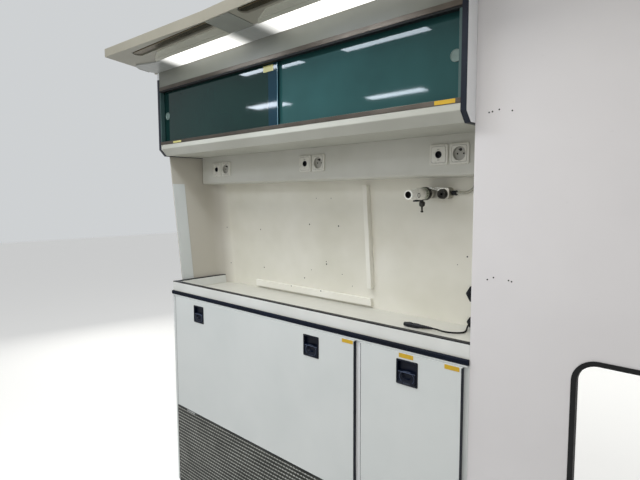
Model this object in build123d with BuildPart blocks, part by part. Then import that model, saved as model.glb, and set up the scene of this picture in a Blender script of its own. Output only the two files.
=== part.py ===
import os
from math import hypot, radians, tan

from build123d import *

# Ambulance side wall storage unit: a counter on a cupboard base, a leaning back lining,
# an overhead locker with sliding glass, a lamp canopy, and a tall module with a hatch.
# Millimetres. X runs along the wall, Y goes into the wall and Z is up.
# The origin is on the floor, in the middle of the overall length and the overall depth.

# Driving sizes
run_length = 1378
tall_width = 700
canopy_overhang = 20
base_depth = 320
canopy_reach = 251
kick_height = 352
worktop_z = 860
niche_height = 575
locker_height = 336
canopy_height = 59

overall_length = canopy_overhang + run_length + tall_width
overall_depth = base_depth + canopy_reach
left_x = canopy_overhang - overall_length / 2
right_x = overall_length / 2
run_end_x = left_x + run_length
back_y = overall_depth / 2
front_y = back_y - base_depth
locker_z = worktop_z + niche_height
locker_top = locker_z + locker_height
overall_height = locker_top + canopy_height

# Stock
end_board = 16
board = 15
thin_board = 6
trim = 2
clearance = 0.3

# Sides of small round forms drawn as polygons
round_sides = 24
fine_sides = 12

# Base
leaf_thickness = 2
plate_thickness = 3
plate_gap = 2
carcass_depth = 285
rail_height = 16
left_stile = 25
post_left = 1018
post_width = 32
worktop_thickness = 15
worktop_depth = 300
upstand_height = 40
upstand_thickness = 16
edging_thickness = 3
left_upstand_cut = 23
left_upstand_foot = 8
bumper_proud = 8
bumper_lip = 3
bumper_groove = 2

worktop_underside = worktop_z - worktop_thickness
cupboard_floor_z = kick_height + leaf_thickness
cupboard_z = cupboard_floor_z + board
cupboard_top_z = worktop_underside - rail_height
inner_left = left_x + end_board
inner_right = run_end_x - end_board
post_x = left_x + post_left
divider_x = post_x + (post_width - end_board) / 2
carcass_back_y = front_y + carcass_depth

# Flaps
flap_overlay = 4
flap_side_overlay = 3
flap_rise = 5
flap_head_gap = 5
flap_thickness = 11
flap_back_gap = 2
flap_trim = 2
flap_bottom = cupboard_floor_z + flap_rise
flap_top = worktop_underside - flap_head_gap
flap_back_y = front_y - flap_back_gap
flap_front_y = flap_back_y - flap_thickness

# Hinges below the flaps
hinge_reach = 10
hinge_axis_y = front_y - hinge_reach
hinge_axis_z = cupboard_floor_z
knuckle_radius = 3.5
pin_radius = 1.5
pin_clearance = 0.05
knuckle_length = 30
fixed_leaf_depth = 45
moving_leaf_half = 3
large_hinge_inset = 100
small_hinge_inset = 60

# Latches
latch_width = 66
latch_height = 67
latch_drop = 53
latch_rim = 3
latch_proud = 2.5
latch_body_depth = 14
latch_flange = 3.5
latch_side_inset = 176
bowl_radius = 20
bowl_depth = 6
bowl_drop = 9
lip_radius = 26
lip_width = 3
latch_z = flap_top - latch_drop

large_left = inner_left + left_stile - flap_overlay
large_right = post_x + flap_overlay
small_left = post_x + post_width - flap_overlay
small_right = inner_right + flap_side_overlay
small_middle = (small_left + small_right) / 2
# Each flap: name, left edge, right edge, hinge centres, latch centres
flaps = [
    ("large_flap", large_left, large_right,
     (large_left + large_hinge_inset, large_right - large_hinge_inset),
     (large_left + latch_side_inset, large_right - latch_side_inset)),
    ("small_flap", small_left, small_right,
     (small_left + small_hinge_inset, small_right - small_hinge_inset),
     (small_middle,)),
]

# Back lining
lining_thickness = 4
lean = 0.083
corner_radius = 70
cheek_front = 48
cover_width = 56
cover_thickness = 2

# Trunking on the lining
trunking_width = 18
trunking_proud = 20
trunking_left = 852
trunking_lift = 75
trunking_head_gap = 18
strip_left = 222
strip_right = 860
strip_lift = 9
strip_height = 28
strip_proud = 12

# Socket channel
channel_front = 157
channel_height = 116
channel_depth = 160
channel_wall = 12
channel_round = 11
socket_inset = (157, 150)
socket_half_pitch = 32
socket_lift = 61
plate_size = 58
socket_plate_thickness = 6
insert_size = 44
insert_groove = 1.2
low_voltage_radius = 10
low_voltage_depth = 14
mains_radius = 19.5
mains_depth = 10
socket_body_depth = 20
contact_radius = 2.4
contact_sides = 8
contact_half_pitch = 9.5
earth_rise = 11

# Locker
locker_front = 46
locker_back_thickness = 8
lip_rise = 26
lip_height = 17
lip_chamfer = 25
lower_rail_height = 12
fascia_height = 60
upper_rail_height = 14
gasket_height = 6
rail_depth = 38
floor_thickness = 18
end_trim_height = 284
wall_hole_radius = 3.5
wall_hole_inset = 80
wall_hole_rise = 85
wall_hole_pitch = 200

# Sliding glass
glass_thickness = 4
pane_overlap = 50
front_track = 24
rear_track = 14
track_width = 5
track_depth = 7
pane_end_gap = 2
pane_head_gap = 2
seal_width = 7
pull_radius = 15
pull_wall = 3
pull_recess = 1.5
pull_proud = 2
pull_lift = 160
pull_inset = 27

# Canopy
canopy_back = 60
underside_step = 5
underside_slope = 0.1165
edge_flare = 32
flare_length = 600
lens_back = 45
lens_front = 118
lens_end_inset = 6
nose_length = 52
nose_shoulder = 48
nose_reach = 143
nose_taper = 96
plate_centre = 371
cover_plate_length = 116
cover_plate_span = (122, 215)
cover_plate_thickness = 2.5
slot_reach = 196
slot_width = 38
slot_roof = 12
slot_end_inset = 135
middle_slot_half = 284
bar_width = 28
bar_corner = 8
bar_thickness = 9
bar_lift = 1.5
bar_end_gap = 5
bar_post = 16
bar_post_inset = 40
strip_reach = (120, 170)
strip_thickness = 4
strip_taper = (25, 95)
strip_knee = 139
strip_end_inset = 150
middle_strip_half = 296
strip_grooves = ((139, 2.5, 2.5), (147, 1.5, 1), (153, 1.5, 1), (159, 1.5, 1), (165, 1.5, 1))

# Tall module
hatch_left_stile = 240
hatch_right_stile = 60
hatch_height = 560
hatch_radius = 45
trim_width = 8
trim_proud = 3
trim_return = 3
shelf_low_drop = 27
shelf_high_gap = 13
shelf_setback = 20
hatch_bottom = kick_height

# Oxygen terminal
block_inset = 277
block_length = 86
block_height = 34
block_drop = 30
block_proud = 15
outlet_inset = 216
outlet_radius = 13.5
outlet_length = 12
outlet_bore = 5
selector_inset = 257
selector_radius = 19
selector_length = 133
selector_ring = 20.5
selector_nose = 13.5
nipple_radius = 5
nipple_length = 40
nipple_collar = 9
nipple_reach = 55
ferrule_radius = 7
ferrule_length = 16
hose_radius = 4.5

# Lead
lead_radius = 2.5
tube_sides = 8
plug_radius = 7.5
plug_length = 46
plug_boot = 48
gland_radius = 18
gland_proud = 12
gland_inset = 132
gland_lift = 16
gland_nose = 10
gland_nose_radius = 8
blank_radius = 27
blank_proud = 14
blank_inset = 123
blank_lift = 106

# Floor brackets
bracket_size = 40
bracket_half = 20
bracket_thickness = 4
bracket_hole_inset = 22
floor_hole_radius = 4.5
bracket_front = 60
bracket_pitch = 190

pieces = {}


def keep(name, part):
    part.label = name
    pieces[name] = part


def board_block(x_span, y_span, z_span):
    """A plain rectangular board between two corners."""
    with BuildPart() as block:
        with BuildSketch(Plane.XY.offset(z_span[0])):
            with Locations(((x_span[0] + x_span[1]) / 2, (y_span[0] + y_span[1]) / 2)):
                Rectangle(x_span[1] - x_span[0], y_span[1] - y_span[0])
        extrude(amount=z_span[1] - z_span[0])
    return block.part


def run_profile(points, x_span):
    """A closed outline of (y, z) points run along X."""
    with BuildPart() as run:
        with BuildSketch(Plane.YZ.offset(x_span[0])):
            with BuildLine():
                Polyline(*points, close=True)
            make_face()
        extrude(amount=x_span[1] - x_span[0])
    return run.part


# The lining and what seats on it lean into the room by the same shear
lean_length = hypot(1, lean)
lean_direction = (0, -lean, 1)
outer_y = front_y + worktop_depth
inner_x = left_x + lining_thickness
inner_y = outer_y - lining_thickness
cheek_y = front_y + cheek_front
room_depth = base_depth


def lining_y(z, proud=0):
    """Where the lining's inner face is at height z."""
    return inner_y - lean * (z - worktop_z) - proud


def room_side(gap):
    """The space in front of the lining, gap clear of it, for trimming what seats on it."""
    room_x = inner_x + gap
    room_y = inner_y - gap
    radius = corner_radius - gap
    with BuildPart() as room:
        with BuildSketch(Plane.XY.offset(worktop_z)):
            with BuildLine():
                Line((room_x, room_y - room_depth), (room_x, room_y - radius))
                RadiusArc((room_x, room_y - radius), (room_x + radius, room_y), radius)
                Line((room_x + radius, room_y), (run_end_x, room_y))
                Line((run_end_x, room_y), (run_end_x, room_y - room_depth))
                Line((run_end_x, room_y - room_depth), (room_x, room_y - room_depth))
            make_face()
        extrude(amount=niche_height * lean_length, dir=lean_direction)
    return room.part


def trim_to_room(block):
    """What is left of a block in front of the lining, just clear of it."""
    with BuildPart() as trimmed:
        add(block)
        add(room_side(clearance), mode=Mode.INTERSECT)
    return trimmed.part


# Back lining: a left cheek, a rounded corner and a long back
outer_radius = corner_radius + lining_thickness
with BuildPart() as back_lining:
    with BuildSketch(Plane.XY.offset(worktop_z)):
        with BuildLine():
            Line((left_x, cheek_y), (left_x, outer_y - outer_radius))
            RadiusArc((left_x, outer_y - outer_radius), (left_x + outer_radius, outer_y), outer_radius)
            Line((left_x + outer_radius, outer_y), (run_end_x, outer_y))
            Line((run_end_x, outer_y), (run_end_x, inner_y))
            Line((run_end_x, inner_y), (inner_x + corner_radius, inner_y))
            RadiusArc((inner_x + corner_radius, inner_y), (inner_x, inner_y - corner_radius), -corner_radius)
            Line((inner_x, inner_y - corner_radius), (inner_x, cheek_y))
            Line((inner_x, cheek_y), (left_x, cheek_y))
        make_face()
    extrude(amount=(niche_height - trim) * lean_length, dir=lean_direction)
keep("back_lining", back_lining.part)

# Cover strip along the front of the cheek, above the upstand
channel_bottom = locker_z - channel_height
upstand_top = worktop_z + upstand_height
cover_low = upstand_top + clearance
cover_high = channel_bottom - clearance
cover_y = cheek_y - lean * (cover_low - worktop_z)
with BuildPart() as pillar_cover:
    with BuildSketch(Plane.XY.offset(cover_low)):
        with Locations((inner_x + cover_thickness / 2, cover_y + cover_width / 2)):
            Rectangle(cover_thickness, cover_width)
    extrude(amount=(cover_high - cover_low) * lean_length, dir=lean_direction)
keep("pillar_cover", pillar_cover.part)

# Base carcass
with BuildPart() as base_ends:
    for span in ((left_x, inner_left), (inner_right, run_end_x)):
        add(board_block(span, (front_y, back_y), (0, worktop_underside)))
keep("base_ends", base_ends.part)
keep("kick_board", board_block((inner_left, inner_right), (front_y, front_y + board), (0, kick_height)))
keep("kick_plate", board_block((inner_left, inner_right), (front_y - plate_thickness, front_y),
                               (0, kick_height - plate_gap)))
keep("cupboard_floor", board_block((inner_left, inner_right), (front_y, carcass_back_y),
                                   (cupboard_floor_z, cupboard_z)))
cupboard_back_y = carcass_back_y - thin_board
keep("cupboard_back", board_block((inner_left, inner_right), (cupboard_back_y, carcass_back_y),
                                  (cupboard_z, worktop_underside)))
divider_span = (divider_x, divider_x + end_board)
with BuildPart() as base_dividers:
    add(board_block(divider_span, (front_y + board, carcass_back_y), (0, cupboard_floor_z)))
    add(board_block(divider_span, (front_y + board, cupboard_back_y), (cupboard_z, worktop_underside)))
keep("base_dividers", base_dividers.part)

# Front frame of the cupboards: a head rail, a left stile and the post between the flaps
with BuildPart() as front_rails:
    add(board_block((inner_left, inner_right), (front_y, front_y + board), (cupboard_top_z, worktop_underside)))
    for span in ((inner_left, inner_left + left_stile), (post_x, post_x + post_width)):
        add(board_block(span, (front_y, front_y + board), (cupboard_z, cupboard_top_z)))
keep("front_rails", front_rails.part)

# Worktop tray with its front and left upstands, edged on top
upstand_z = upstand_top - edging_thickness
side_upstand = (inner_x, inner_x + board)
side_back = inner_y - left_upstand_cut
left_upstand_outline = [
    (front_y, worktop_z),
    (inner_y - left_upstand_foot, worktop_z),
    (side_back, upstand_z),
    (front_y, upstand_z),
]
with BuildPart() as worktop_tray:
    add(board_block((left_x, run_end_x), (front_y, outer_y), (worktop_underside, worktop_z)))
    add(board_block((left_x, run_end_x), (front_y, front_y + upstand_thickness), (worktop_z, upstand_z)))
    add(trim_to_room(run_profile(left_upstand_outline, side_upstand)))
keep("worktop_tray", worktop_tray.part)
with BuildPart() as upstand_edging:
    add(board_block((left_x, run_end_x), (front_y, front_y + upstand_thickness), (upstand_z, upstand_top)))
    add(trim_to_room(board_block(side_upstand, (front_y, side_back), (upstand_z, upstand_top))))
keep("upstand_edging", upstand_edging.part)

# Bumper strip: proud lips along both edges and a pair of grooves between them
bumper_y = front_y - bumper_proud
bumper_middle = (worktop_z + worktop_underside) / 2
with BuildPart() as bumper_strip:
    add(run_profile(
        [
            (front_y, worktop_underside),
            (front_y, worktop_z),
            (bumper_y + bumper_lip, worktop_z),
            (bumper_y, worktop_z - bumper_lip),
            (bumper_y, worktop_underside + bumper_lip),
            (bumper_y + bumper_lip, worktop_underside),
        ],
        (left_x, run_end_x),
    ))
    for middle in (bumper_middle - bumper_groove, bumper_middle + bumper_groove):
        add(board_block((left_x, run_end_x), (bumper_y, bumper_y + bumper_groove / 2),
                        (middle - bumper_groove / 2, middle + bumper_groove / 2)), mode=Mode.SUBTRACT)
keep("bumper_strip", bumper_strip.part)

# Flaps with their edging, latches and hinges
flap_height = flap_top - flap_bottom
flap_middle_z = (flap_bottom + flap_top) / 2
latch_hole = latch_width - 2 * latch_flange
latch_face_y = flap_front_y - latch_proud
knuckle_half = (knuckle_length - clearance) / 2
for name, flap_left, flap_right, hinge_spots, latch_spots in flaps:
    flap_width = flap_right - flap_left
    flap_middle_x = (flap_left + flap_right) / 2
    panel_size = (flap_width - 2 * flap_trim, flap_height - 2 * flap_trim)
    latch_places = [(spot, latch_z) for spot in latch_spots]
    with BuildPart() as flap_panel:
        with BuildSketch(Plane.XZ.offset(-flap_back_y)):
            with Locations((flap_middle_x, flap_middle_z)):
                Rectangle(*panel_size)
            with Locations(*latch_places):
                Rectangle(latch_hole + 2 * clearance, latch_hole + 2 * clearance, mode=Mode.SUBTRACT)
        extrude(amount=flap_thickness)
    keep(f"{name}_panel", flap_panel.part)
    with BuildPart() as edging:
        with BuildSketch(Plane.XZ.offset(-flap_back_y)):
            with Locations((flap_middle_x, flap_middle_z)):
                RectangleRounded(flap_width, flap_height, flap_trim)
                Rectangle(*panel_size, mode=Mode.SUBTRACT)
        extrude(amount=flap_thickness)
    keep(f"{name}_edging", edging.part)

    # Latch: a rimmed flange on a square body, a thumb bowl below and a curved lip over it
    with BuildPart() as latch:
        with BuildSketch(Plane.XZ.offset(-flap_front_y)):
            with Locations(*latch_places):
                Rectangle(latch_width, latch_height)
        extrude(amount=latch_proud)
        with BuildSketch(Plane.XZ.offset(-flap_front_y)):
            with Locations(*latch_places):
                Rectangle(latch_hole, latch_hole)
        extrude(amount=-flap_thickness - latch_body_depth)
        with BuildSketch(Plane.XZ.offset(-latch_face_y)):
            with Locations(*latch_places):
                Rectangle(latch_width - 2 * latch_rim, latch_height - 2 * latch_rim)
        extrude(amount=-latch_proud / 2, mode=Mode.SUBTRACT)
        with BuildSketch(Plane.XZ.offset(-latch_face_y)):
            with Locations(*[(spot, latch_z - bowl_drop) for spot in latch_spots]):
                RegularPolygon(bowl_radius, round_sides)
        extrude(amount=-bowl_depth, mode=Mode.SUBTRACT)
        with BuildSketch(Plane.XZ.offset(-latch_face_y - latch_proud / 2)):
            for spot in latch_spots:
                with Locations((spot, latch_z - bowl_drop)):
                    RegularPolygon(lip_radius, round_sides)
                    RegularPolygon(lip_radius - lip_width, round_sides, mode=Mode.SUBTRACT)
                with Locations((spot, latch_z - bowl_drop - lip_radius / 2)):
                    Rectangle(2 * lip_radius, lip_radius, mode=Mode.SUBTRACT)
        extrude(amount=latch_proud / 2)
    keep(f"{name}_latches", latch.part)

    # The flap's half of each lift-off hinge: a leaf under it, a knuckle and the pin
    with BuildPart() as leaves:
        for spot in hinge_spots:
            middle = spot + knuckle_length / 2
            with BuildSketch(Plane.YZ.offset(middle - knuckle_half)):
                with Locations((hinge_axis_y, hinge_axis_z)):
                    RegularPolygon(knuckle_radius, fine_sides)
            extrude(amount=2 * knuckle_half)
            with BuildSketch(Plane.YZ.offset(middle - knuckle_half)):
                with Locations((hinge_axis_y, hinge_axis_z)):
                    Circle(pin_radius)
            extrude(amount=-knuckle_length)
            leaf_y = (hinge_axis_y - moving_leaf_half, hinge_axis_y + moving_leaf_half)
            add(board_block((spot - knuckle_length, spot + knuckle_length), leaf_y,
                            (hinge_axis_z + knuckle_radius + clearance, flap_bottom)))
            add(board_block((middle - knuckle_half, middle + knuckle_half),
                            (hinge_axis_y - pin_radius, hinge_axis_y + pin_radius),
                            (hinge_axis_z + knuckle_radius - 1, flap_bottom)))
    keep(f"{name}_hinge_leaves", leaves.part)

# The fixed half of every hinge: a leaf clamped on the kick board, with a bored knuckle
with BuildPart() as hinge_plates:
    for spot in [spot for flap in flaps for spot in flap[3]]:
        middle = spot - knuckle_length / 2
        add(board_block((spot - knuckle_length, spot + knuckle_length),
                        (hinge_axis_y + knuckle_radius + 1, hinge_axis_y + fixed_leaf_depth),
                        (kick_height, cupboard_floor_z)))
        add(board_block((middle - knuckle_half, middle + knuckle_half),
                        (hinge_axis_y, hinge_axis_y + knuckle_radius + 1),
                        (kick_height, cupboard_floor_z)))
        with BuildSketch(Plane.YZ.offset(middle - knuckle_half)):
            with Locations((hinge_axis_y, hinge_axis_z)):
                RegularPolygon(knuckle_radius, fine_sides)
        extrude(amount=2 * knuckle_half)
        with BuildSketch(Plane.YZ.offset(middle - knuckle_half)):
            with Locations((hinge_axis_y, hinge_axis_z)):
                Circle(pin_radius + pin_clearance)
        extrude(amount=2 * knuckle_half, mode=Mode.SUBTRACT)
keep("hinge_plates", hinge_plates.part)

# Trunking on the lining
trunking_x = left_x + trunking_left
trunking_low = worktop_z + trunking_lift
trunking_high = channel_bottom - trunking_head_gap
with BuildPart() as vertical_trunking:
    with BuildSketch(Plane.XY.offset(trunking_low)):
        with Locations((trunking_x + trunking_width / 2, lining_y(trunking_low, trunking_proud / 2))):
            Rectangle(trunking_width, trunking_proud)
    extrude(amount=(trunking_high - trunking_low) * lean_length, dir=lean_direction)
keep("vertical_trunking", vertical_trunking.part)
strip_low = worktop_z + strip_lift
strip_high = strip_low + strip_height
keep("horizontal_trunking", run_profile(
    [
        (lining_y(strip_low), strip_low),
        (lining_y(strip_high), strip_high),
        (lining_y(strip_high, strip_proud), strip_high),
        (lining_y(strip_low, strip_proud), strip_low),
    ],
    (left_x + strip_left, left_x + strip_right),
))

# Socket channel: a moulded cover under the locker, open to the back, rounded at its free edges
channel_y = front_y + channel_front
channel_x = inner_x + clearance
socket_z = channel_bottom + socket_lift
socket_first = left_x + socket_inset[0]
socket_last = run_end_x - socket_inset[1]
socket_pairs = (socket_first, (socket_first + socket_last) / 2, socket_last)
low_voltage_places = [(centre - socket_half_pitch, socket_z) for centre in socket_pairs]
mains_places = [(centre + socket_half_pitch, socket_z) for centre in socket_pairs]
with BuildPart() as socket_channel:
    add(board_block((channel_x, run_end_x), (channel_y, channel_y + channel_depth), (channel_bottom, locker_z)))
    free_edges = socket_channel.edges().filter_by(Axis.X).group_by(Axis.Y)[0].sort_by(Axis.Z)[:1]
    end_edges = socket_channel.edges().filter_by(Axis.Z).group_by(Axis.Y)[0].sort_by(Axis.X)[:1]
    fillet(free_edges + end_edges, radius=channel_round)
    add(board_block((channel_x + channel_wall, run_end_x), (channel_y + channel_wall, channel_y + channel_depth),
                    (channel_bottom + channel_wall, locker_z)), mode=Mode.SUBTRACT)
    add(room_side(clearance), mode=Mode.INTERSECT)
    with BuildSketch(Plane.XZ.offset(-channel_y)):
        with Locations(*low_voltage_places, *mains_places):
            Rectangle(insert_size + 2 * clearance, insert_size + 2 * clearance)
    extrude(amount=-channel_wall, mode=Mode.SUBTRACT)
keep("socket_channel", socket_channel.part)


def socket_plates(places):
    """Square plates with an insert line, each on a square body through the channel."""
    face_y = channel_y - socket_plate_thickness
    with BuildPart() as plates:
        with BuildSketch(Plane.XZ.offset(-channel_y)):
            with Locations(*places):
                Rectangle(plate_size, plate_size)
        extrude(amount=socket_plate_thickness)
        with BuildSketch(Plane.XZ.offset(-face_y)):
            with Locations(*places):
                Rectangle(insert_size, insert_size)
                Rectangle(insert_size - 2 * insert_groove, insert_size - 2 * insert_groove, mode=Mode.SUBTRACT)
        extrude(amount=-insert_groove, mode=Mode.SUBTRACT)
        with BuildSketch(Plane.XZ.offset(-channel_y)):
            with Locations(*places):
                Rectangle(insert_size, insert_size)
        extrude(amount=-socket_body_depth)
    return plates.part


with BuildPart() as low_voltage_sockets:
    add(socket_plates(low_voltage_places))
    with BuildSketch(Plane.XZ.offset(-channel_y + socket_plate_thickness)):
        with Locations(*low_voltage_places):
            Circle(low_voltage_radius)
    extrude(amount=-low_voltage_depth, mode=Mode.SUBTRACT)
keep("low_voltage_sockets", low_voltage_sockets.part)

# Mains sockets: a round well with an earth pin at the top of its floor and two contact holes
with BuildPart() as mains_sockets:
    add(socket_plates(mains_places))
    with BuildSketch(Plane.XZ.offset(-channel_y + socket_plate_thickness)):
        with Locations(*mains_places):
            Circle(mains_radius)
    extrude(amount=-mains_depth, mode=Mode.SUBTRACT)
    with BuildSketch(Plane.XZ.offset(-channel_y + socket_plate_thickness - mains_depth)):
        for x, z in mains_places:
            with Locations((x - contact_half_pitch, z), (x + contact_half_pitch, z)):
                RegularPolygon(contact_radius, contact_sides)
    extrude(amount=-mains_depth / 2, mode=Mode.SUBTRACT)
    with BuildSketch(Plane.XZ.offset(-channel_y + socket_plate_thickness - mains_depth)):
        for x, z in mains_places:
            with Locations((x, z + earth_rise)):
                RegularPolygon(contact_radius, contact_sides)
    extrude(amount=mains_depth - 1)
keep("mains_sockets", mains_sockets.part)

# Overhead locker
locker_left = left_x + board
locker_right = run_end_x - board
locker_front_y = front_y - locker_front
locker_back_y = outer_y - lean * niche_height - locker_back_thickness
lip_low = locker_z + lip_rise
lip_top = lip_low + lip_height
lower_rail_top = lip_top + lower_rail_height
upper_rail_top = locker_top - fascia_height
upper_rail_bottom = upper_rail_top - upper_rail_height
gasket_bottom = upper_rail_bottom - gasket_height
chamfer_y = locker_front_y + lip_chamfer
with BuildPart() as locker_ends:
    for span in ((left_x, locker_left), (locker_right, run_end_x)):
        add(run_profile(
            [
                (locker_front_y + trim, lip_low - trim),
                (locker_front_y + trim, locker_top),
                (locker_back_y, locker_top),
                (locker_back_y, locker_z),
                (chamfer_y, locker_z),
            ],
            span,
        ))
keep("locker_ends", locker_ends.part)

# Edging that follows each end board down its front, round the chamfer and back under it
end_trim_top = lip_low + end_trim_height - trim
with BuildPart() as locker_end_edgings:
    for span in ((left_x, locker_left), (locker_right, run_end_x)):
        add(run_profile(
            [
                (locker_front_y, end_trim_top),
                (locker_front_y, lip_low - trim),
                (chamfer_y - trim, locker_z - trim),
                (channel_y - clearance, locker_z - trim),
                (channel_y - clearance, locker_z),
                (chamfer_y, locker_z),
                (locker_front_y + trim, lip_low - trim),
                (locker_front_y + trim, end_trim_top),
            ],
            span,
        ))
keep("locker_end_edgings", locker_end_edgings.part)
floor_top = locker_z + floor_thickness
rail_back_y = locker_front_y + rail_depth
keep("locker_floor", run_profile(
    [
        (locker_front_y + 1, lip_low),
        (chamfer_y, locker_z),
        (locker_back_y, locker_z),
        (locker_back_y, floor_top),
        (rail_back_y, floor_top),
        (rail_back_y, lip_top),
        (locker_front_y + 1, lip_top),
    ],
    (locker_left, locker_right),
))
fascia_back_y = locker_front_y + board
keep("locker_top", board_block((locker_left, locker_right), (fascia_back_y, locker_back_y),
                               (locker_top - board, locker_top)))
with BuildPart() as locker_back:
    add(board_block((left_x, run_end_x), (locker_back_y, locker_back_y + locker_back_thickness),
                    (locker_z, locker_top)))
    with BuildSketch(Plane.XZ.offset(-locker_back_y)):
        for hole_x in (left_x + wall_hole_inset, run_end_x - wall_hole_inset):
            for hole_z in (locker_z + wall_hole_rise, locker_z + wall_hole_rise + wall_hole_pitch):
                with Locations((hole_x, hole_z)):
                    Circle(wall_hole_radius)
    extrude(amount=-locker_back_thickness, mode=Mode.SUBTRACT)
keep("locker_back", locker_back.part)
keep("locker_fascia", board_block((locker_left, locker_right), (locker_front_y + 1, fascia_back_y),
                                  (upper_rail_top, locker_top)))
tracks = (front_y - front_track, front_y - rear_track)


def track_rail(z_low, z_high, groove_low, groove_high):
    """A rail with a groove for each pane."""
    with BuildPart() as rail:
        add(board_block((locker_left, locker_right), (locker_front_y, rail_back_y), (z_low, z_high)))
        for y in tracks:
            add(board_block((locker_left, locker_right), (y - track_width / 2, y + track_width / 2),
                            (groove_low, groove_high)), mode=Mode.SUBTRACT)
    return rail.part


groove_floor = lower_rail_top - track_depth
groove_roof = upper_rail_bottom + track_depth
seal_back_y = tracks[0] - track_width / 2 - 1
keep("lower_rail", track_rail(lip_top, lower_rail_top, groove_floor, lower_rail_top))
keep("upper_rail", track_rail(upper_rail_bottom, upper_rail_top, upper_rail_bottom, groove_roof))
keep("rail_gasket", board_block((locker_left, locker_right), (locker_front_y + 1, seal_back_y),
                                (gasket_bottom, upper_rail_bottom)))
with BuildPart() as side_seals:
    for span in ((locker_left, locker_left + seal_width), (locker_right - seal_width, locker_right)):
        add(board_block(span, (locker_front_y + 1, seal_back_y), (lower_rail_top, gasket_bottom)))
keep("side_seals", side_seals.part)

# Sliding glass
pane_width = (locker_right - locker_left + pane_overlap) / 2
# Each pane: name, left edge, track, pull's distance from that edge
panes = [
    ("left_glass", locker_left + pane_end_gap, tracks[0], pull_inset),
    ("right_glass", locker_right - pane_end_gap - pane_width, tracks[1], pane_width - pull_inset),
]
pane_low = groove_floor + clearance
pane_high = groove_roof - pane_head_gap
pull_z = locker_z + pull_lift
for name, pane_x, track_y, pull_x in panes:
    face_y = track_y - glass_thickness / 2
    keep(f"{name}_pane", board_block((pane_x, pane_x + pane_width), (face_y, face_y + glass_thickness),
                                     (pane_low, pane_high)))
    with BuildPart() as pull:
        with BuildSketch(Plane.XZ.offset(-face_y)):
            with Locations((pane_x + pull_x, pull_z)):
                RegularPolygon(pull_radius, round_sides)
        extrude(amount=pull_proud)
        with BuildSketch(Plane.XZ.offset(-face_y + pull_proud)):
            with Locations((pane_x + pull_x, pull_z)):
                RegularPolygon(pull_radius - pull_wall, round_sides)
        extrude(amount=-pull_recess, mode=Mode.SUBTRACT)
    keep(f"{name}_pull", pull.part)

# Canopy: a housing over the locker whose underside rises towards the room
canopy_left = left_x - canopy_overhang
canopy_front_y = -overall_depth / 2


def under_z(reach, drop=0):
    """Height of the canopy's sloping underside, reach out from the base's front."""
    return locker_top + underside_step + underside_slope * (reach - lens_back) - drop


def slope_slab(reach_low, reach_high, thickness):
    """A slab hung flush under the sloping underside, along the whole canopy."""
    return run_profile(
        [
            (front_y - reach_low, under_z(reach_low)),
            (front_y - reach_high, under_z(reach_high)),
            (front_y - reach_high, under_z(reach_high, thickness)),
            (front_y - reach_low, under_z(reach_low, thickness)),
        ],
        (canopy_left, right_x),
    )


def plan_prism(points):
    """A plan outline of (x, reach) points, as tall as the canopy."""
    with BuildPart() as prism:
        with BuildSketch(Plane.XY.offset(locker_top - canopy_height)):
            with BuildLine():
                Polyline(*[(x, front_y - reach) for x, reach in points], close=True)
            make_face()
        extrude(amount=2 * canopy_height)
    return prism.part


plate_half = cover_plate_length / 2
plate_edge = plate_centre + plate_half
# Each slot for a grab bar: its two ends along X, as the bar's length and rounded ends need
slots = [
    (canopy_left + slot_end_inset, -plate_edge + bar_end_gap),
    (-middle_slot_half, middle_slot_half),
    (plate_edge - bar_end_gap, right_x - slot_end_inset),
]
flare_x = right_x - flare_length
straight_reach = canopy_reach - edge_flare
slot_roof_z = overall_height - slot_roof
slot_half = slot_width / 2
slot_reaches = (slot_reach - slot_half, slot_reach + slot_half)
keep("canopy", run_profile(
    [
        (front_y + canopy_back, locker_top),
        (front_y - lens_back, locker_top),
        (front_y - lens_back, under_z(lens_back)),
        (front_y - slot_reaches[0], under_z(slot_reaches[0])),
        (front_y - slot_reaches[0], slot_roof_z),
        (front_y + canopy_back, slot_roof_z),
    ],
    (canopy_left, right_x),
))

# Roof panel, its room edge further out at both ends
flare_points = [(canopy_left, canopy_reach), (-flare_x, straight_reach), (flare_x, straight_reach),
                (right_x, canopy_reach)]
with BuildPart() as canopy_roof:
    add(plan_prism([*flare_points, (right_x, -canopy_back), (canopy_left, -canopy_back)]))
    add(board_block((canopy_left, right_x), (canopy_front_y, front_y + canopy_back),
                    (slot_roof_z, overall_height)), mode=Mode.INTERSECT)
keep("canopy_roof", canopy_roof.part)

# Nose along the room edge, below the roof panel
with BuildPart() as canopy_nose:
    add(plan_prism([*flare_points, (right_x, slot_reaches[1]), (canopy_left, slot_reaches[1])]))
    add(run_profile(
        [
            (front_y - slot_reaches[1], under_z(slot_reaches[1])),
            (canopy_front_y, under_z(canopy_reach)),
            (canopy_front_y, slot_roof_z),
            (front_y - slot_reaches[1], slot_roof_z),
        ],
        (canopy_left, right_x),
    ), mode=Mode.INTERSECT)
keep("canopy_nose", canopy_nose.part)

# Bridges between body and nose, with the round ends of the slots for the grab bars
with BuildPart() as canopy_bridges:
    add(run_profile(
        [
            (front_y - slot_reaches[0], under_z(slot_reaches[0])),
            (front_y - slot_reaches[1], under_z(slot_reaches[1])),
            (front_y - slot_reaches[1], slot_roof_z),
            (front_y - slot_reaches[0], slot_roof_z),
        ],
        (canopy_left, right_x),
    ))
    with BuildSketch(Plane.XY.offset(slot_roof_z)):
        for x_low, x_high in slots:
            with Locations(((x_low + x_high) / 2, front_y - slot_reach)):
                SlotOverall(x_high - x_low, slot_width)
    extrude(amount=-canopy_height, mode=Mode.SUBTRACT)
keep("canopy_bridges", canopy_bridges.part)

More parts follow.
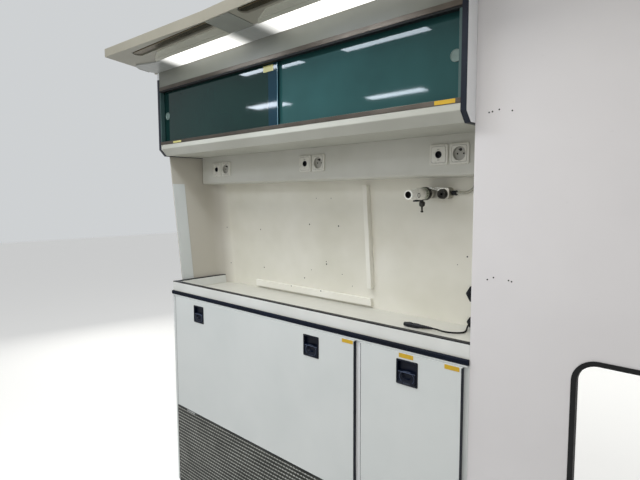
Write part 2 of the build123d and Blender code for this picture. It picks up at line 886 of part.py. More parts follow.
# Lamp lens: one long strip with a rounded nose at each end
nose_x = right_x - lens_end_inset
with BuildPart() as lamps:
    with BuildSketch(Plane.XY.offset(locker_top - canopy_height)):
        with BuildLine():
            for side in (-1, 1):
                shoulder = (side * (nose_x - nose_length), front_y - lens_back)
                tip = (side * nose_x, front_y - lens_back - nose_shoulder)
                elbow = (side * (nose_x - nose_length / 2), front_y - nose_reach)
                waist = (side * (nose_x - nose_length / 2 - nose_taper), front_y - lens_front)
                bulge = (nose_x - nose_length / 6, front_y - lens_back - nose_shoulder / 4)
                flank = (nose_x - nose_length / 12, front_y - nose_reach + nose_shoulder / 3)
                ThreePointArc(shoulder, (side * bulge[0], bulge[1]), tip)
                ThreePointArc(tip, (side * flank[0], flank[1]), elbow)
                Line(elbow, waist)
            Line(waist, (-waist[0], waist[1]))
            Line(shoulder, (-shoulder[0], shoulder[1]))
        make_face()
    extrude(amount=2 * canopy_height)
    add(slope_slab(lens_back, nose_reach + lens_back, underside_step), mode=Mode.INTERSECT)
keep("lamps", lamps.part)

# Ribbed strips beside the lens, their free ends cut back at a slant
strip_end = plate_edge + clearance
# Each strip: its ends at the lens, and which of them are slanted
strips = [
    (canopy_left + strip_end_inset, -strip_end, True, False),
    (-middle_strip_half, middle_strip_half, True, True),
    (strip_end, right_x - strip_end_inset, False, True),
]
with BuildPart() as rib_strips:
    for x_low, x_high, slant_low, slant_high in strips:
        low_cut = [slant_low * taper for taper in strip_taper]
        high_cut = [slant_high * taper for taper in strip_taper]
        add(plan_prism([
            (x_low, strip_reach[0]),
            (x_low + low_cut[0], strip_knee),
            (x_low + low_cut[1], strip_reach[1]),
            (x_high - high_cut[1], strip_reach[1]),
            (x_high - high_cut[0], strip_knee),
            (x_high, strip_reach[0]),
        ]))
    add(slope_slab(lens_back, canopy_reach, strip_thickness), mode=Mode.INTERSECT)
    for reach, width, depth in strip_grooves:
        half = width / 2
        add(run_profile(
            [
                (front_y - reach + half, under_z(reach - half, strip_thickness - depth)),
                (front_y - reach - half, under_z(reach + half, strip_thickness - depth)),
                (front_y - reach - half, under_z(reach + half, strip_thickness + 1)),
                (front_y - reach + half, under_z(reach - half, strip_thickness + 1)),
            ],
            (canopy_left, right_x),
        ), mode=Mode.SUBTRACT)
keep("rib_strips", rib_strips.part)

# Cover plates between the strips
with BuildPart() as cover_plates:
    for centre in (-plate_centre, plate_centre):
        add(plan_prism([(centre - plate_half, cover_plate_span[0]), (centre + plate_half, cover_plate_span[0]),
                        (centre + plate_half, cover_plate_span[1]), (centre - plate_half, cover_plate_span[1])]))
    add(slope_slab(lens_back, canopy_reach, cover_plate_thickness), mode=Mode.INTERSECT)
keep("cover_plates", cover_plates.part)

# Grab bars, each hung in its slot on two posts
bar_low = under_z(slot_reach) + bar_lift
bar_middle = bar_low + bar_thickness / 2
bar_y = front_y - slot_reach
with BuildPart() as grab_rails:
    for x_low, x_high in slots:
        bar_ends = (x_low + bar_end_gap, x_high - bar_end_gap)
        with BuildSketch(Plane.XY.offset(bar_low)):
            with Locations(((bar_ends[0] + bar_ends[1]) / 2, bar_y)):
                bar_plan = Rectangle(bar_ends[1] - bar_ends[0], bar_width)
            chamfer(bar_plan.vertices(), length=bar_corner)
        extrude(amount=bar_thickness)
        for post_middle in (bar_ends[0] + bar_post_inset, bar_ends[1] - bar_post_inset):
            add(board_block((post_middle - bar_post / 2, post_middle + bar_post / 2),
                            (bar_y - bar_post / 2, bar_y + bar_post / 2), (bar_middle, slot_roof_z)))
keep("grab_rails", grab_rails.part)

# Tall module
tall_face_y = front_y + board
hatch_width = tall_width - hatch_left_stile - hatch_right_stile
hatch_x = run_end_x + hatch_left_stile + hatch_width / 2
hatch_z = hatch_bottom + hatch_height / 2
with BuildPart() as tall_front:
    with BuildSketch(Plane.XZ.offset(-tall_face_y)):
        with Locations(((run_end_x + right_x) / 2, locker_top / 2)):
            Rectangle(tall_width, locker_top)
        with Locations((hatch_x, hatch_z)):
            RectangleRounded(hatch_width, hatch_height, hatch_radius, mode=Mode.SUBTRACT)
    extrude(amount=board)
keep("tall_front", tall_front.part)
side_outline = [
    (tall_face_y, 0),
    (back_y, 0),
    (back_y, worktop_z),
    (locker_back_y, locker_z),
    (locker_back_y, locker_top),
    (tall_face_y, locker_top),
]
with BuildPart() as tall_sides:
    for span in ((run_end_x, run_end_x + board), (right_x - board, right_x)):
        add(run_profile(side_outline, span))
keep("tall_sides", tall_sides.part)
tall_span = (run_end_x + board, right_x - board)
shelf_low = hatch_bottom - shelf_low_drop
shelf_high = hatch_bottom + hatch_height + shelf_high_gap
shelf_back_y = back_y - shelf_setback
with BuildPart() as tall_boards:
    add(board_block(tall_span, (tall_face_y, locker_back_y), (locker_top - board, locker_top)))
    for shelf_z in (shelf_low, shelf_high):
        add(board_block(tall_span, (tall_face_y, shelf_back_y), (shelf_z, shelf_z + board)))
keep("tall_boards", tall_boards.part)
inner_hatch = (hatch_width - 2 * trim_return, hatch_height - 2 * trim_return, hatch_radius - trim_return)
outer_hatch = (hatch_width + 2 * trim_width, hatch_height + 2 * trim_width, hatch_radius + trim_width)
with BuildPart() as hatch_trim:
    with BuildSketch(Plane.XZ.offset(-tall_face_y)):
        with Locations((hatch_x, hatch_z)):
            RectangleRounded(hatch_width, hatch_height, hatch_radius)
            RectangleRounded(*inner_hatch, mode=Mode.SUBTRACT)
    extrude(amount=board + trim_proud)
    with BuildSketch(Plane.XZ.offset(-front_y)):
        with Locations((hatch_x, hatch_z)):
            RectangleRounded(*outer_hatch)
            RectangleRounded(*inner_hatch, mode=Mode.SUBTRACT)
    extrude(amount=trim_proud)
keep("hatch_trim", hatch_trim.part)

# Oxygen terminal: a block on the lining, a flow selector, a plain outlet and a hose
block_x = run_end_x - block_inset
block_high = channel_bottom - block_drop
block_low = block_high - block_height
block_face = lining_y(block_high, block_proud)
terminal_z = (block_low + block_high) / 2
with BuildPart() as oxygen_block:
    add(run_profile(
        [
            (lining_y(block_low), block_low),
            (lining_y(block_high), block_high),
            (block_face, block_high),
            (block_face, block_low),
        ],
        (block_x, block_x + block_length),
    ))
    with BuildSketch(Plane.XZ.offset(-block_face)):
        with Locations((run_end_x - outlet_inset, terminal_z)):
            Circle(outlet_radius)
    extrude(amount=outlet_length)
    with BuildSketch(Plane.XZ.offset(-block_face + outlet_length)):
        with Locations((run_end_x - outlet_inset, terminal_z)):
            RegularPolygon(outlet_bore, fine_sides)
    extrude(amount=-outlet_length / 2, mode=Mode.SUBTRACT)
keep("oxygen_block", oxygen_block.part)

selector_x = run_end_x - selector_inset
selector_y = block_face - selector_length
# Stations of the turned selector, from the block outwards: distance, radius
selector_steps = [
    (0, selector_nose - 1),
    (22, selector_nose - 1),
    (22, selector_ring),
    (45, selector_ring),
    (48, selector_radius),
    (80, selector_radius),
    (selector_length, selector_nose),
]
with BuildPart() as flow_selector:
    with BuildSketch(Plane.XY.offset(terminal_z)):
        with BuildLine():
            Polyline(
                (selector_x, block_face),
                *[(selector_x + radius, block_face - distance) for distance, radius in selector_steps],
                (selector_x, selector_y),
                close=True,
            )
        make_face()
    revolve(axis=Axis((selector_x, 0, terminal_z), (0, 1, 0)))
    nipple_y = block_face - nipple_reach
    with BuildSketch(Plane.XY.offset(terminal_z - nipple_length - selector_radius)):
        with Locations((selector_x, nipple_y)):
            RegularPolygon(nipple_radius, fine_sides)
    extrude(amount=nipple_length + selector_radius)
    with BuildSketch(Plane.XY.offset(terminal_z - selector_radius - nipple_length / 3)):
        with Locations((selector_x, nipple_y)):
            RegularPolygon(nipple_collar, fine_sides)
    extrude(amount=nipple_length / 3 + 4)
keep("flow_selector", flow_selector.part)
ferrule_x = block_x + block_length
ferrule_y = lining_y(terminal_z, block_proud / 2)
ferrule_end = ferrule_x + ferrule_length
with BuildPart() as hose_ferrule:
    with BuildSketch(Plane.YZ.offset(ferrule_x)):
        with Locations((ferrule_y, terminal_z)):
            RegularPolygon(ferrule_radius, fine_sides)
    extrude(amount=ferrule_length)
keep("hose_ferrule", hose_ferrule.part)


def routed_tube(route, radius):
    """Straight runs with tangent arcs, each as large as its two runs allow, swept by an octagon."""
    radii = []
    for before, corner, after in zip(route, route[1:], route[2:]):
        first = Vector(*corner) - Vector(*before)
        second = Vector(*after) - Vector(*corner)
        turn = first.get_angle(second)
        radii.append(0.45 * min(first.length, second.length) / tan(radians(turn / 2)))
    start = Vector(*route[0])
    with BuildPart() as tube:
        with BuildLine() as path:
            FilletPolyline(*route, radius=radii)
        with BuildSketch(Plane(start, z_dir=Vector(*route[1]) - start)):
            RegularPolygon(radius, tube_sides, major_radius=False)
        sweep(path=path.wires()[0])
    print("route radii", [round(value) for value in radii], "length", round(path.wires()[0].length))
    return tube.part


# Hose stations: right of the ferrule, off the lining and up, until it meets the channel's underside
hose_head = channel_bottom - terminal_z
hose_stations = [(0, 0, 0), (22, 0, 0), (34, 0.2, 1.7), (45, 0.6, 6.6), (54, 1.2, 14.4), (60.3, 2, 24.6),
                 (63.4, 3, 36.2), (63.4, 3, hose_head)]
keep("oxygen_hose", routed_tube(
    [(ferrule_end + right, ferrule_y - off, terminal_z + rise) for right, off, rise in hose_stations],
    hose_radius,
))

# Lead: a hexagonal gland low on the lining with a blank one above it, a lead on the tray, and its plug
gland_x = run_end_x - gland_inset
gland_z = worktop_z + gland_lift
gland_face = lining_y(gland_z, gland_proud)
lead_y = gland_face - gland_nose
blank_z = worktop_z + blank_lift
# Each hexagon: its middle, its height, its size and how proud it stands
hexagons = [
    (gland_x, gland_z, gland_radius, gland_proud),
    (run_end_x - blank_inset, blank_z, blank_radius, blank_proud),
]
with BuildPart() as lead_outlet:
    for x, z, radius, proud in hexagons:
        with BuildSketch(Plane.XZ.offset(-lining_y(z, -proud))):
            with Locations((x, z)):
                RegularPolygon(radius, 6)
        extrude(amount=2 * proud)
    add(room_side(0), mode=Mode.INTERSECT)
    with BuildSketch(Plane.XZ.offset(-gland_face)):
        with Locations((gland_x, gland_z)):
            RegularPolygon(gland_nose_radius, fine_sides)
    extrude(amount=gland_nose)
keep("lead_outlet", lead_outlet.part)
lead_z = worktop_z + lead_radius + clearance
plug_z = worktop_z + plug_radius + clearance
# Route of the lead: right of the gland, towards the wall, up from the gland's middle or the tray
lead_route = [
    (gland_x, lead_y, gland_z),
    (gland_x, lead_y - 14, gland_z - 1),
    (gland_x + 4, lead_y - 30, lead_z + 5),
    (gland_x + 9, lead_y - 45, lead_z + 0.5),
    (gland_x + 11, lead_y - 61, lead_z),
    (gland_x + 5, lead_y - 76, lead_z),
    (gland_x - 8, lead_y - 86, lead_z),
    (gland_x - 25, lead_y - 93, lead_z),
    (gland_x - 43, lead_y - 98.5, lead_z + 1.5),
    (gland_x - 59, lead_y - 102, plug_z),
    (gland_x - 71, lead_y - 103, plug_z),
]
keep("black_lead", routed_tube(lead_route, lead_radius))
plug_start = Vector(*lead_route[-1])
plug_direction = (plug_start - Vector(*lead_route[-2])).normalized()
with BuildPart() as lead_plug:
    with BuildSketch(Plane(plug_start, z_dir=plug_direction)):
        RegularPolygon(lead_radius + 1, fine_sides)
    with BuildSketch(Plane(plug_start + plug_direction * plug_boot, z_dir=plug_direction)):
        RegularPolygon(plug_radius, fine_sides)
    loft(ruled=True)
    with BuildSketch(Plane(plug_start + plug_direction * plug_boot, z_dir=plug_direction)):
        RegularPolygon(plug_radius, fine_sides)
    extrude(amount=plug_length)
keep("lead_plug", lead_plug.part)

# Floor brackets
with BuildPart() as floor_brackets:
    for x, direction in ((inner_left, 1), (right_x - board, -1)):
        for y in (front_y + bracket_front, front_y + bracket_front + bracket_pitch):
            foot = sorted((x, x + direction * bracket_size))
            stem = sorted((x, x + direction * bracket_thickness))
            span = (y - bracket_half, y + bracket_half)
            add(board_block(foot, span, (0, bracket_thickness)))
            add(board_block(stem, span, (0, bracket_size)))
            with Locations((x + direction * bracket_hole_inset, y, bracket_thickness)):
                Hole(floor_hole_radius, bracket_thickness)
keep("floor_brackets", floor_brackets.part)

os.makedirs("parts", exist_ok=True)
for piece_name, piece_part in pieces.items():
    export_step(piece_part, f"parts/{piece_name}.step")
print("pieces", len(pieces))
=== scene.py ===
import bpy
import bmesh
import math
from mathutils import Matrix, Vector


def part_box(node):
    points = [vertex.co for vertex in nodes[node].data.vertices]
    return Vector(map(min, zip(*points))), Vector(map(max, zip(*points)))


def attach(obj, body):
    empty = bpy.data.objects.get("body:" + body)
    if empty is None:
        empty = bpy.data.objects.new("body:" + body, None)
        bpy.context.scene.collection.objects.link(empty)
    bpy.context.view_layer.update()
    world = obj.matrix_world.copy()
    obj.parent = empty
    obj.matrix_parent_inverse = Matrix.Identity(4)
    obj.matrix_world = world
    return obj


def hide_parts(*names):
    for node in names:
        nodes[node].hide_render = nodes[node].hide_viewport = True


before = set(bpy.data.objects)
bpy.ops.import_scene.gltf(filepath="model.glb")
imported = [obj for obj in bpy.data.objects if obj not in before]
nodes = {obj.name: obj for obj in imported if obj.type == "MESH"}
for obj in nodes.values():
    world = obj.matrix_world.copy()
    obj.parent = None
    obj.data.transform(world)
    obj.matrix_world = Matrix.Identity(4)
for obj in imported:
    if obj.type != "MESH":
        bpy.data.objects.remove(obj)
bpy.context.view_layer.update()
scene = bpy.context.scene
mm = 0.001
print("frame loaded")

# The unit's own faces, that new pieces are set against
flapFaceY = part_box("large_flap_panel")[0].y
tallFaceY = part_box("tall_front")[0].y
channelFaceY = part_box("socket_channel")[0].y
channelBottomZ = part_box("socket_channel")[0].z
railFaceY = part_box("lower_rail")[0].y
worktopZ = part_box("horizontal_trunking")[0].z - 9 * mm  # the trunking lies 9 mm over the worktop
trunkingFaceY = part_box("horizontal_trunking")[0].y

# Camera: the photograph's view
camera = dict(place=(0.8923, -1.1565, 1.2621), lens=27.855, sensor=36, turn=43.0, dip=5.0, roll=-0.2)
cameraData = bpy.data.cameras.new("camera")
cameraData.lens, cameraData.sensor_width, cameraData.clip_start = camera["lens"], camera["sensor"], 0.02
cameraObject = bpy.data.objects.new("camera", cameraData)
scene.collection.objects.link(cameraObject)
cameraObject.matrix_world = (
    Matrix.Translation(camera["place"])
    @ Matrix.Rotation(math.radians(camera["turn"]), 4, "Z")
    @ Matrix.Rotation(math.radians(90 - camera["dip"]), 4, "X")
    @ Matrix.Rotation(math.radians(camera["roll"]), 4, "Z")
)
scene.camera = cameraObject
scene.view_settings.view_transform = "Standard"


def colourOf(code):
    # sRGB hex to linear
    parts = [int(code[i:i + 2], 16) / 255 for i in (1, 3, 5)]
    return tuple(p / 12.92 if p <= 0.04045 else ((p + 0.055) / 1.055) ** 2.4 for p in parts) + (1,)


def fillNode(tree, node, settings=None, links=None):
    # Settings by socket or attribute name or a ramp's stops, and links into the node's sockets
    for name, value in (settings or {}).items():
        if name == "stops":
            for element, (position, code) in zip(node.color_ramp.elements, value):
                element.position, element.color = position, colourOf(code)
        elif isinstance(name, str) and hasattr(node, name):
            setattr(node, name, value)
        else:
            node.inputs[name].default_value = value
    for name, source in (links or {}).items():
        tree.links.new(source, node.inputs[name])
    return node


def addNode(tree, kind, settings=None, links=None):
    return fillNode(tree, tree.nodes.new(kind), settings, links)


lights = dict(
    # The world fills the shade with one strength, and the eye, metal and glass see it at the other
    worldColour="#E9ECEE", worldFill=0.32, worldSeen=0.76,
    floorColour="#DEDEDC", floorSize=30, floorSeen=0.36,
    # name: width and depth, place, aim, watts, colour, seen in polished surfaces
    lamps=dict(
        front=(2.6, 1.6, (0.4, -3.4, 2.2), (-0.1, 0, 0.9), 16.5, "#FFFDF8", True),
        overhead=(2.8, 1.2, (-0.2, -1.3, 3.0), (-0.2, -0.6, 0.9), 43, "#FFFDF8", True),
        back=(2.8, 1.8, (0, 3.6, 2.2), (0, 0.3, 0.9), 46, "#FFFDF8", False),
        sideLeft=(1.4, 1.8, (-3.6, 0.75, 1.7), (-1, 0.3, 0.9), 27, "#FFFDF8", False),
        sideRight=(1.4, 1.8, (3.6, 0.75, 1.7), (1, 0.3, 0.9), 30, "#FFFDF8", False),
        stripLeft=(0.28, 0.10, (-1.33, -0.905, 1.79), (-1.33, -0.904, 0), 2.6, "#E8F2FF", True),
        stripRight=(0.35, 0.08, (-0.607, -1.128, 1.79), (-0.607, -1.127, 0), 3.0, "#E8F2FF", True),
        nearStripLeft=(0.35, 0.06, (-0.690, -0.345, 1.79), (-0.690, -0.344, 0), 1.4, "#E8F2FF", True),
        nearStripRight=(0.35, 0.062, (-0.130, -0.348, 1.79), (-0.130, -0.347, 0), 1.5, "#E8F2FF", True),
    ),
)


def seenShare(tree):
    # 1 for the rays that show the studio itself, 0 for the light on the object
    rays = addNode(tree, "ShaderNodeLightPath").outputs
    straight = addNode(tree, "ShaderNodeMath", {"operation": "MAXIMUM"},
                       {0: rays["Is Camera Ray"], 1: rays["Is Glossy Ray"]}).outputs["Value"]
    return addNode(tree, "ShaderNodeMath", {"operation": "MAXIMUM"},
                   {0: straight, 1: rays["Is Transmission Ray"]}).outputs["Value"]


world = bpy.data.worlds.new("world")
scene.world = world
world.use_nodes = True
worldTree = world.node_tree
worldStrength = addNode(worldTree, "ShaderNodeMapRange",
                        {"To Min": lights["worldFill"], "To Max": lights["worldSeen"]},
                        {"Value": seenShare(worldTree)}).outputs["Result"]
fillNode(worldTree, worldTree.nodes["Background"], {"Color": colourOf(lights["worldColour"])},
         {"Strength": worldStrength})
for name, (sizeX, sizeY, place, aim, watts, tint, polished) in lights["lamps"].items():
    lamp = bpy.data.lights.new(name, "AREA")
    lamp.shape, lamp.size, lamp.size_y, lamp.energy = "RECTANGLE", sizeX, sizeY, watts
    lamp.color = colourOf(tint)[:3]
    lampObject = bpy.data.objects.new(name, lamp)
    scene.collection.objects.link(lampObject)
    lampObject.visible_camera, lampObject.visible_glossy = False, polished
    turn = (Vector(aim) - Vector(place)).to_track_quat("-Z", "Y").to_matrix().to_4x4()
    lampObject.matrix_world = Matrix.Translation(place) @ turn
print("camera and lights ready")


# Cords come early: their routes are the part's own, in metres
def cordCurve(name, points, radiusMm, body, node):
    curve = bpy.data.curves.new(name, "CURVE")
    curve.dimensions, curve.bevel_depth, curve.bevel_resolution = "3D", 1, 5  # the points hold the radius
    curve.use_fill_caps = True
    spline = curve.splines.new("NURBS")
    spline.points.add(len(points) - 1)
    for point, co in zip(spline.points, points):
        point.co, point.radius = (*co, 1), radiusMm * mm
    spline.order_u, spline.use_endpoint_u, spline.resolution_u = 3, True, 8
    piece = bpy.data.objects.new(name, curve)
    scene.collection.objects.link(piece)
    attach(piece, body)
    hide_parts(node)
    return piece


gland = dict(x=0.217, y=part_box("lead_outlet")[0].y, z=worktopZ + 0.016)
leadPoints = [(gland["x"] + x, gland["y"] + y, worktopZ + z) for x, y, z in [
    # From the gland along X and Y, and up from the worktop
    (0, 0, 0.016), (0, -0.014, 0.015), (0.004, -0.030, 0.0078), (0.009, -0.045, 0.0033),
    (0.011, -0.061, 0.0028), (0.005, -0.076, 0.0028), (-0.008, -0.086, 0.0028), (-0.025, -0.093, 0.0028),
    (-0.043, -0.0985, 0.0043), (-0.059, -0.102, 0.0078), (-0.071, -0.103, 0.0078),
]]
leadPiece = cordCurve("blackLead", leadPoints, 2.5, "cabinet", "black_lead")

ferruleLow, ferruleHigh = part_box("hose_ferrule")
hoseStart = Vector((ferruleHigh.x, (ferruleLow.y + ferruleHigh.y) / 2, (ferruleLow.z + ferruleHigh.z) / 2))
hoseHead = channelBottomZ - hoseStart.z
hosePoints = [hoseStart + Vector(step) for step in [
    # Right of the ferrule, off the lining, then rise: the end goes up into the channel's underside
    (0, 0, 0), (0.022, 0, 0), (0.034, -0.0002, 0.0017), (0.045, -0.0006, 0.0066), (0.054, -0.0012, 0.0144),
    (0.0603, -0.002, 0.0246), (0.0634, -0.003, 0.0362), (0.0634, -0.003, hoseHead),
]]
hosePiece = cordCurve("oxygenHose", hosePoints, 4.5, "cabinet", "oxygen_hose")
print("cord lines ready")


# Materials, each named for the real finish or for the painted light or shade it carries
def newMaterial(name):
    material = bpy.data.materials.new(name)
    material.use_nodes = True
    tree = material.node_tree
    shader = tree.nodes["Principled BSDF"]
    place = addNode(tree, "ShaderNodeTexCoord").outputs["Object"]
    return material, tree, shader, place


def grainAt(tree, place, sizeMm, detail=2.0, rough=0.5, stretch=(1, 1, 1)):
    # A pattern whose grains are sizeMm across, stretched along some axes
    spread = addNode(tree, "ShaderNodeMapping", {"Scale": tuple(1 / s for s in stretch)}, {"Vector": place})
    return addNode(tree, "ShaderNodeTexNoise", {"Scale": 1000 / sizeMm, "Detail": detail, "Roughness": rough},
                   {"Vector": spread.outputs["Vector"]}).outputs["Fac"]


def surfaceOver(tree, tonePattern, stops, polishPattern, smooth, dull):
    # Tone and polish, each after its own pattern
    tone = addNode(tree, "ShaderNodeValToRGB", {"stops": stops}, {"Fac": tonePattern}).outputs["Color"]
    polish = addNode(tree, "ShaderNodeMapRange",
                     {"From Min": 0.3, "From Max": 0.7, "To Min": smooth, "To Max": dull},
                     {"Value": polishPattern}).outputs["Result"]
    return tone, polish


def toneOver(tree, tone, code, pattern, start, end, share=1.0):
    # Another tone, that comes in as the pattern runs from start to end
    amount = addNode(tree, "ShaderNodeMapRange", {"From Min": start, "From Max": end, "To Max": share},
                     {"Value": pattern}).outputs["Result"]
    return addNode(tree, "ShaderNodeMix", {"data_type": "RGBA", 7: colourOf(code)},
                   {0: amount, 6: tone}).outputs[2]


def zoneOver(tree, tone, place, axis, fromMm, toMm, code):
    # Another tone over one side of the piece, from one coordinate of it to another
    along = addNode(tree, "ShaderNodeSeparateXYZ", None, {"Vector": place}).outputs[axis]
    return toneOver(tree, tone, code, along, fromMm * mm, toMm * mm)


def sheetFinish(name, colour, shade, rough, grainMm, grainDepth, patchMm=260, spread=0.06, coat=0.0,
                stretch=(1, 1, 1), scuff=None, gloss=0.5, zone=None):
    # A moulded, laminated or sprayed surface: slow patches of tone, fine grain, uneven polish, light scuffs
    material, tree, shader, place = newMaterial(name)
    tone, polish = surfaceOver(tree, grainAt(tree, place, patchMm, 3, 0.55), [(0.32, shade), (0.66, colour)],
                               grainAt(tree, place, patchMm / 4, 4, 0.6), rough - spread, rough + spread)
    if scuff:
        # Rare short marks, a little darker than the face
        marks = grainAt(tree, place, 26, 6, 0.75, (1, 1, 0.22))
        tone = toneOver(tree, tone, scuff, marks, 0.66, 0.74, 0.5)
    if zone:
        tone = zoneOver(tree, tone, place, *zone)
    grain = addNode(tree, "ShaderNodeBump", {"Strength": 1.0, "Distance": grainDepth * mm},
                    {"Height": grainAt(tree, place, grainMm, 2, 0.6, stretch)}).outputs["Normal"]
    fillNode(tree, shader, {"Specular IOR Level": gloss},
             {"Base Color": tone, "Roughness": polish, "Normal": grain})
    if coat:
        fillNode(tree, shader, {"Coat Weight": coat, "Coat Roughness": 0.2})
    return material


# Pressed laminate: satin, with a faint even grain and wiping marks
whiteLaminate = sheetFinish("whiteHighPressureLaminate", "#D1D4D3", "#CACECD", 0.42, 1.6, 0.02,
                            scuff="#B9BBB8")
# The front rails and the locker ends: the white laminate painted brighter, painted light against the shade of
# their recesses
railLaminatePaintedLight = sheetFinish("whiteLaminatePaintedBrighter", "#F0F1F3", "#E9EAEC", 0.4, 1.6, 0.02)
tallLaminate = sheetFinish("whiteTallPanelLaminate", "#D9D6D7", "#D3D0D1", 0.40, 1.6, 0.02, 420,
                           scuff="#BDBBBB")
# From 866 mm down to 861 mm the tone fades to a darker one, so the tray's floor is painted darker than its
# upstands: painted shade
trayLaminate = sheetFinish("whiteThermoformedTray", "#DADBD8", "#D1D2CE", 0.34, 3, 0.03, 150, coat=0.2,
                           scuff="#B3B1A6", zone=("Z", 866, 861, "#D1D0C8"))
boardLaminate = sheetFinish("warmWhiteBalanceLaminate", "#CFCCC2", "#C5C1B6", 0.55, 2.2, 0.03)
# Gelcoat: glossy over a slow orange peel, and uneven in tone
# The lining's left end, from x -972 mm to -1012 mm, is painted darker: painted shade on the left return and its
# rounded corner
liningShell = sheetFinish("creamGelcoatLining", "#E8E5DA", "#DCD9CB", 0.34, 14, 0.06, 240, coat=0.15,
                          scuff="#C6C2B2", zone=("X", -972, -1012, "#BCB7AC"))
# The channel and the locker's floor are the lining's gelcoat painted darker: painted shade under the locker
channelShellPaintedShade = sheetFinish("creamGelcoatChannelPaintedShade", "#CBCAC2", "#C0BFB5", 0.38, 14, 0.08, 240, scuff="#AEAB9E")
lockerFloorPaintedShade = sheetFinish("creamGelcoatLockerFloorPaintedShade", "#B8B8AF", "#ACACA2", 0.4, 14, 0.08, 240)
trunkingPvc = sheetFinish("creamExtrudedTrunking", "#EFEDE4", "#E8E5DA", 0.36, 2.5, 0.008, 200)
canopyShell = sheetFinish("creamVacuumFormedCanopy", "#A19E92", "#949184", 0.42, 9, 0.05, 300)
fasciaPaint = sheetFinish("greyGreenFasciaLaminate", "#74756A", "#676860", 0.38, 1.8, 0.02)
# Extruded and moulded plastics: fine die lines or a fine spark texture
navyEdging = sheetFinish("navyExtrudedEdging", "#0E1628", "#080E1B", 0.38, 1.2, 0.03, 90,
                         stretch=(1, 1, 12), gloss=0.25)
# The flaps' edging is navy at the sides and white along the top
flapEdging = sheetFinish("navyAndWhiteFlapEdging", "#0E1628", "#080E1B", 0.38, 1.2, 0.03, 90,
                         stretch=(1, 1, 12), gloss=0.25, zone=("Z", 837.6, 838.0, "#CCCFCE"))
blackEdging = sheetFinish("blackExtrudedEdging", "#0B0F18", "#06080E", 0.4, 1.2, 0.03, 90, gloss=0.25)
bumperVinyl = sheetFinish("navyRibbedVinylBumper", "#0A1324", "#060B17", 0.6, 1.0, 0.04, 120,
                          stretch=(14, 1, 1), gloss=0.12)
# Rubber is matt, and filled nylon and ABS are satin
blackRubber = sheetFinish("blackEpdmRubber", "#0B0C0E", "#050607", 0.55, 0.8, 0.05, 60, gloss=0.25)
blackMoulding = sheetFinish("blackGlassFilledNylon", "#0E1018", "#07090F", 0.42, 0.9, 0.04, 40, gloss=0.3)
latchNylon = sheetFinish("navyMouldedNylon", "#071022", "#040A17", 0.36, 0.9, 0.03, 30, gloss=0.16)
# The socket wells and the line round each insert: the white ABS painted grey, painted shade in the recesses
wellAbsPaintedShade = sheetFinish("whiteAbsWellPaintedShade", "#B3B1A9", "#A7A59D", 0.34, 1.0, 0.01, 60)
# A paler nylon for the latches' thin ring and lip edge: painted highlight
nylonPaintedHighlight = sheetFinish("paleNylonPaintedHighlight", "#4B5975", "#36435C", 0.34, 0.9, 0.03, 30)
socketAbs = sheetFinish("whiteMouldedAbs", "#D9D7CE", "#D2D0C6", 0.3, 1.0, 0.01, 60)
# A pale strip along the left pane's edge: painted highlight
glassEdgeHighlight = sheetFinish("paintedGlassEdgeHighlight", "#5C8894", "#4B7783", 0.2, 1.0, 0.01, 40)
sealPlastic = sheetFinish("greyPvcSideSeal", "#34504E", "#2A4240", 0.5, 1.4, 0.03, 80)
platePlastic = sheetFinish("greyMouldedCoverPlate", "#90928B", "#868881", 0.5, 1.0, 0.03, 70)
pullPlastic = sheetFinish("hazyClearAcrylicPull", "#6C7F79", "#5F716B", 0.32, 1.0, 0.01, 20)
ribPlastic = sheetFinish("paleExtrudedRibStrip", "#C9C8BC", "#BDBCAF", 0.4, 1.5, 0.03, 200)
# Label film is flat and even, and enamel smooth and glossy
labelVinyl = sheetFinish("yellowVinylLabel", "#CDA51B", "#BF9916", 0.4, 0.7, 0.01, 25)
paleLabelVinyl = sheetFinish("paleYellowVinylLabel", "#C9C27E", "#BDB56E", 0.4, 0.7, 0.01, 25)
selectorEnamel = sheetFinish("offWhiteEnamelledBrass", "#F4F3EC", "#EAE8DE", 0.28, 1.2, 0.01, 30, coat=0.4)
bandEnamel = sheetFinish("greyGreenDialEnamel", "#A3A898", "#949988", 0.35, 1.2, 0.01, 30)
# Black for holes, bores, notches and grooves: painted shade
deepShadow = sheetFinish("paintedShadeBlack", "#050505", "#030303", 0.8, 1.0, 0.01, 20)


def metalFinish(name, bright, dull, rough, brush, lineMm=0.5, depth=0.01, spread=0.07):
    # Metal with a brushed or drawn grain along one axis
    material, tree, shader, place = newMaterial(name)
    lines = grainAt(tree, place, lineMm, 3, 0.6, brush)
    tone, polish = surfaceOver(tree, grainAt(tree, place, 70, 3, 0.6), [(0.3, dull), (0.7, bright)],
                               lines, rough - spread, rough + spread)
    grain = addNode(tree, "ShaderNodeBump", {"Strength": 1.0, "Distance": depth * mm},
                    {"Height": lines}).outputs["Normal"]
    fillNode(tree, shader, {"Metallic": 1.0}, {"Base Color": tone, "Roughness": polish, "Normal": grain})
    return material


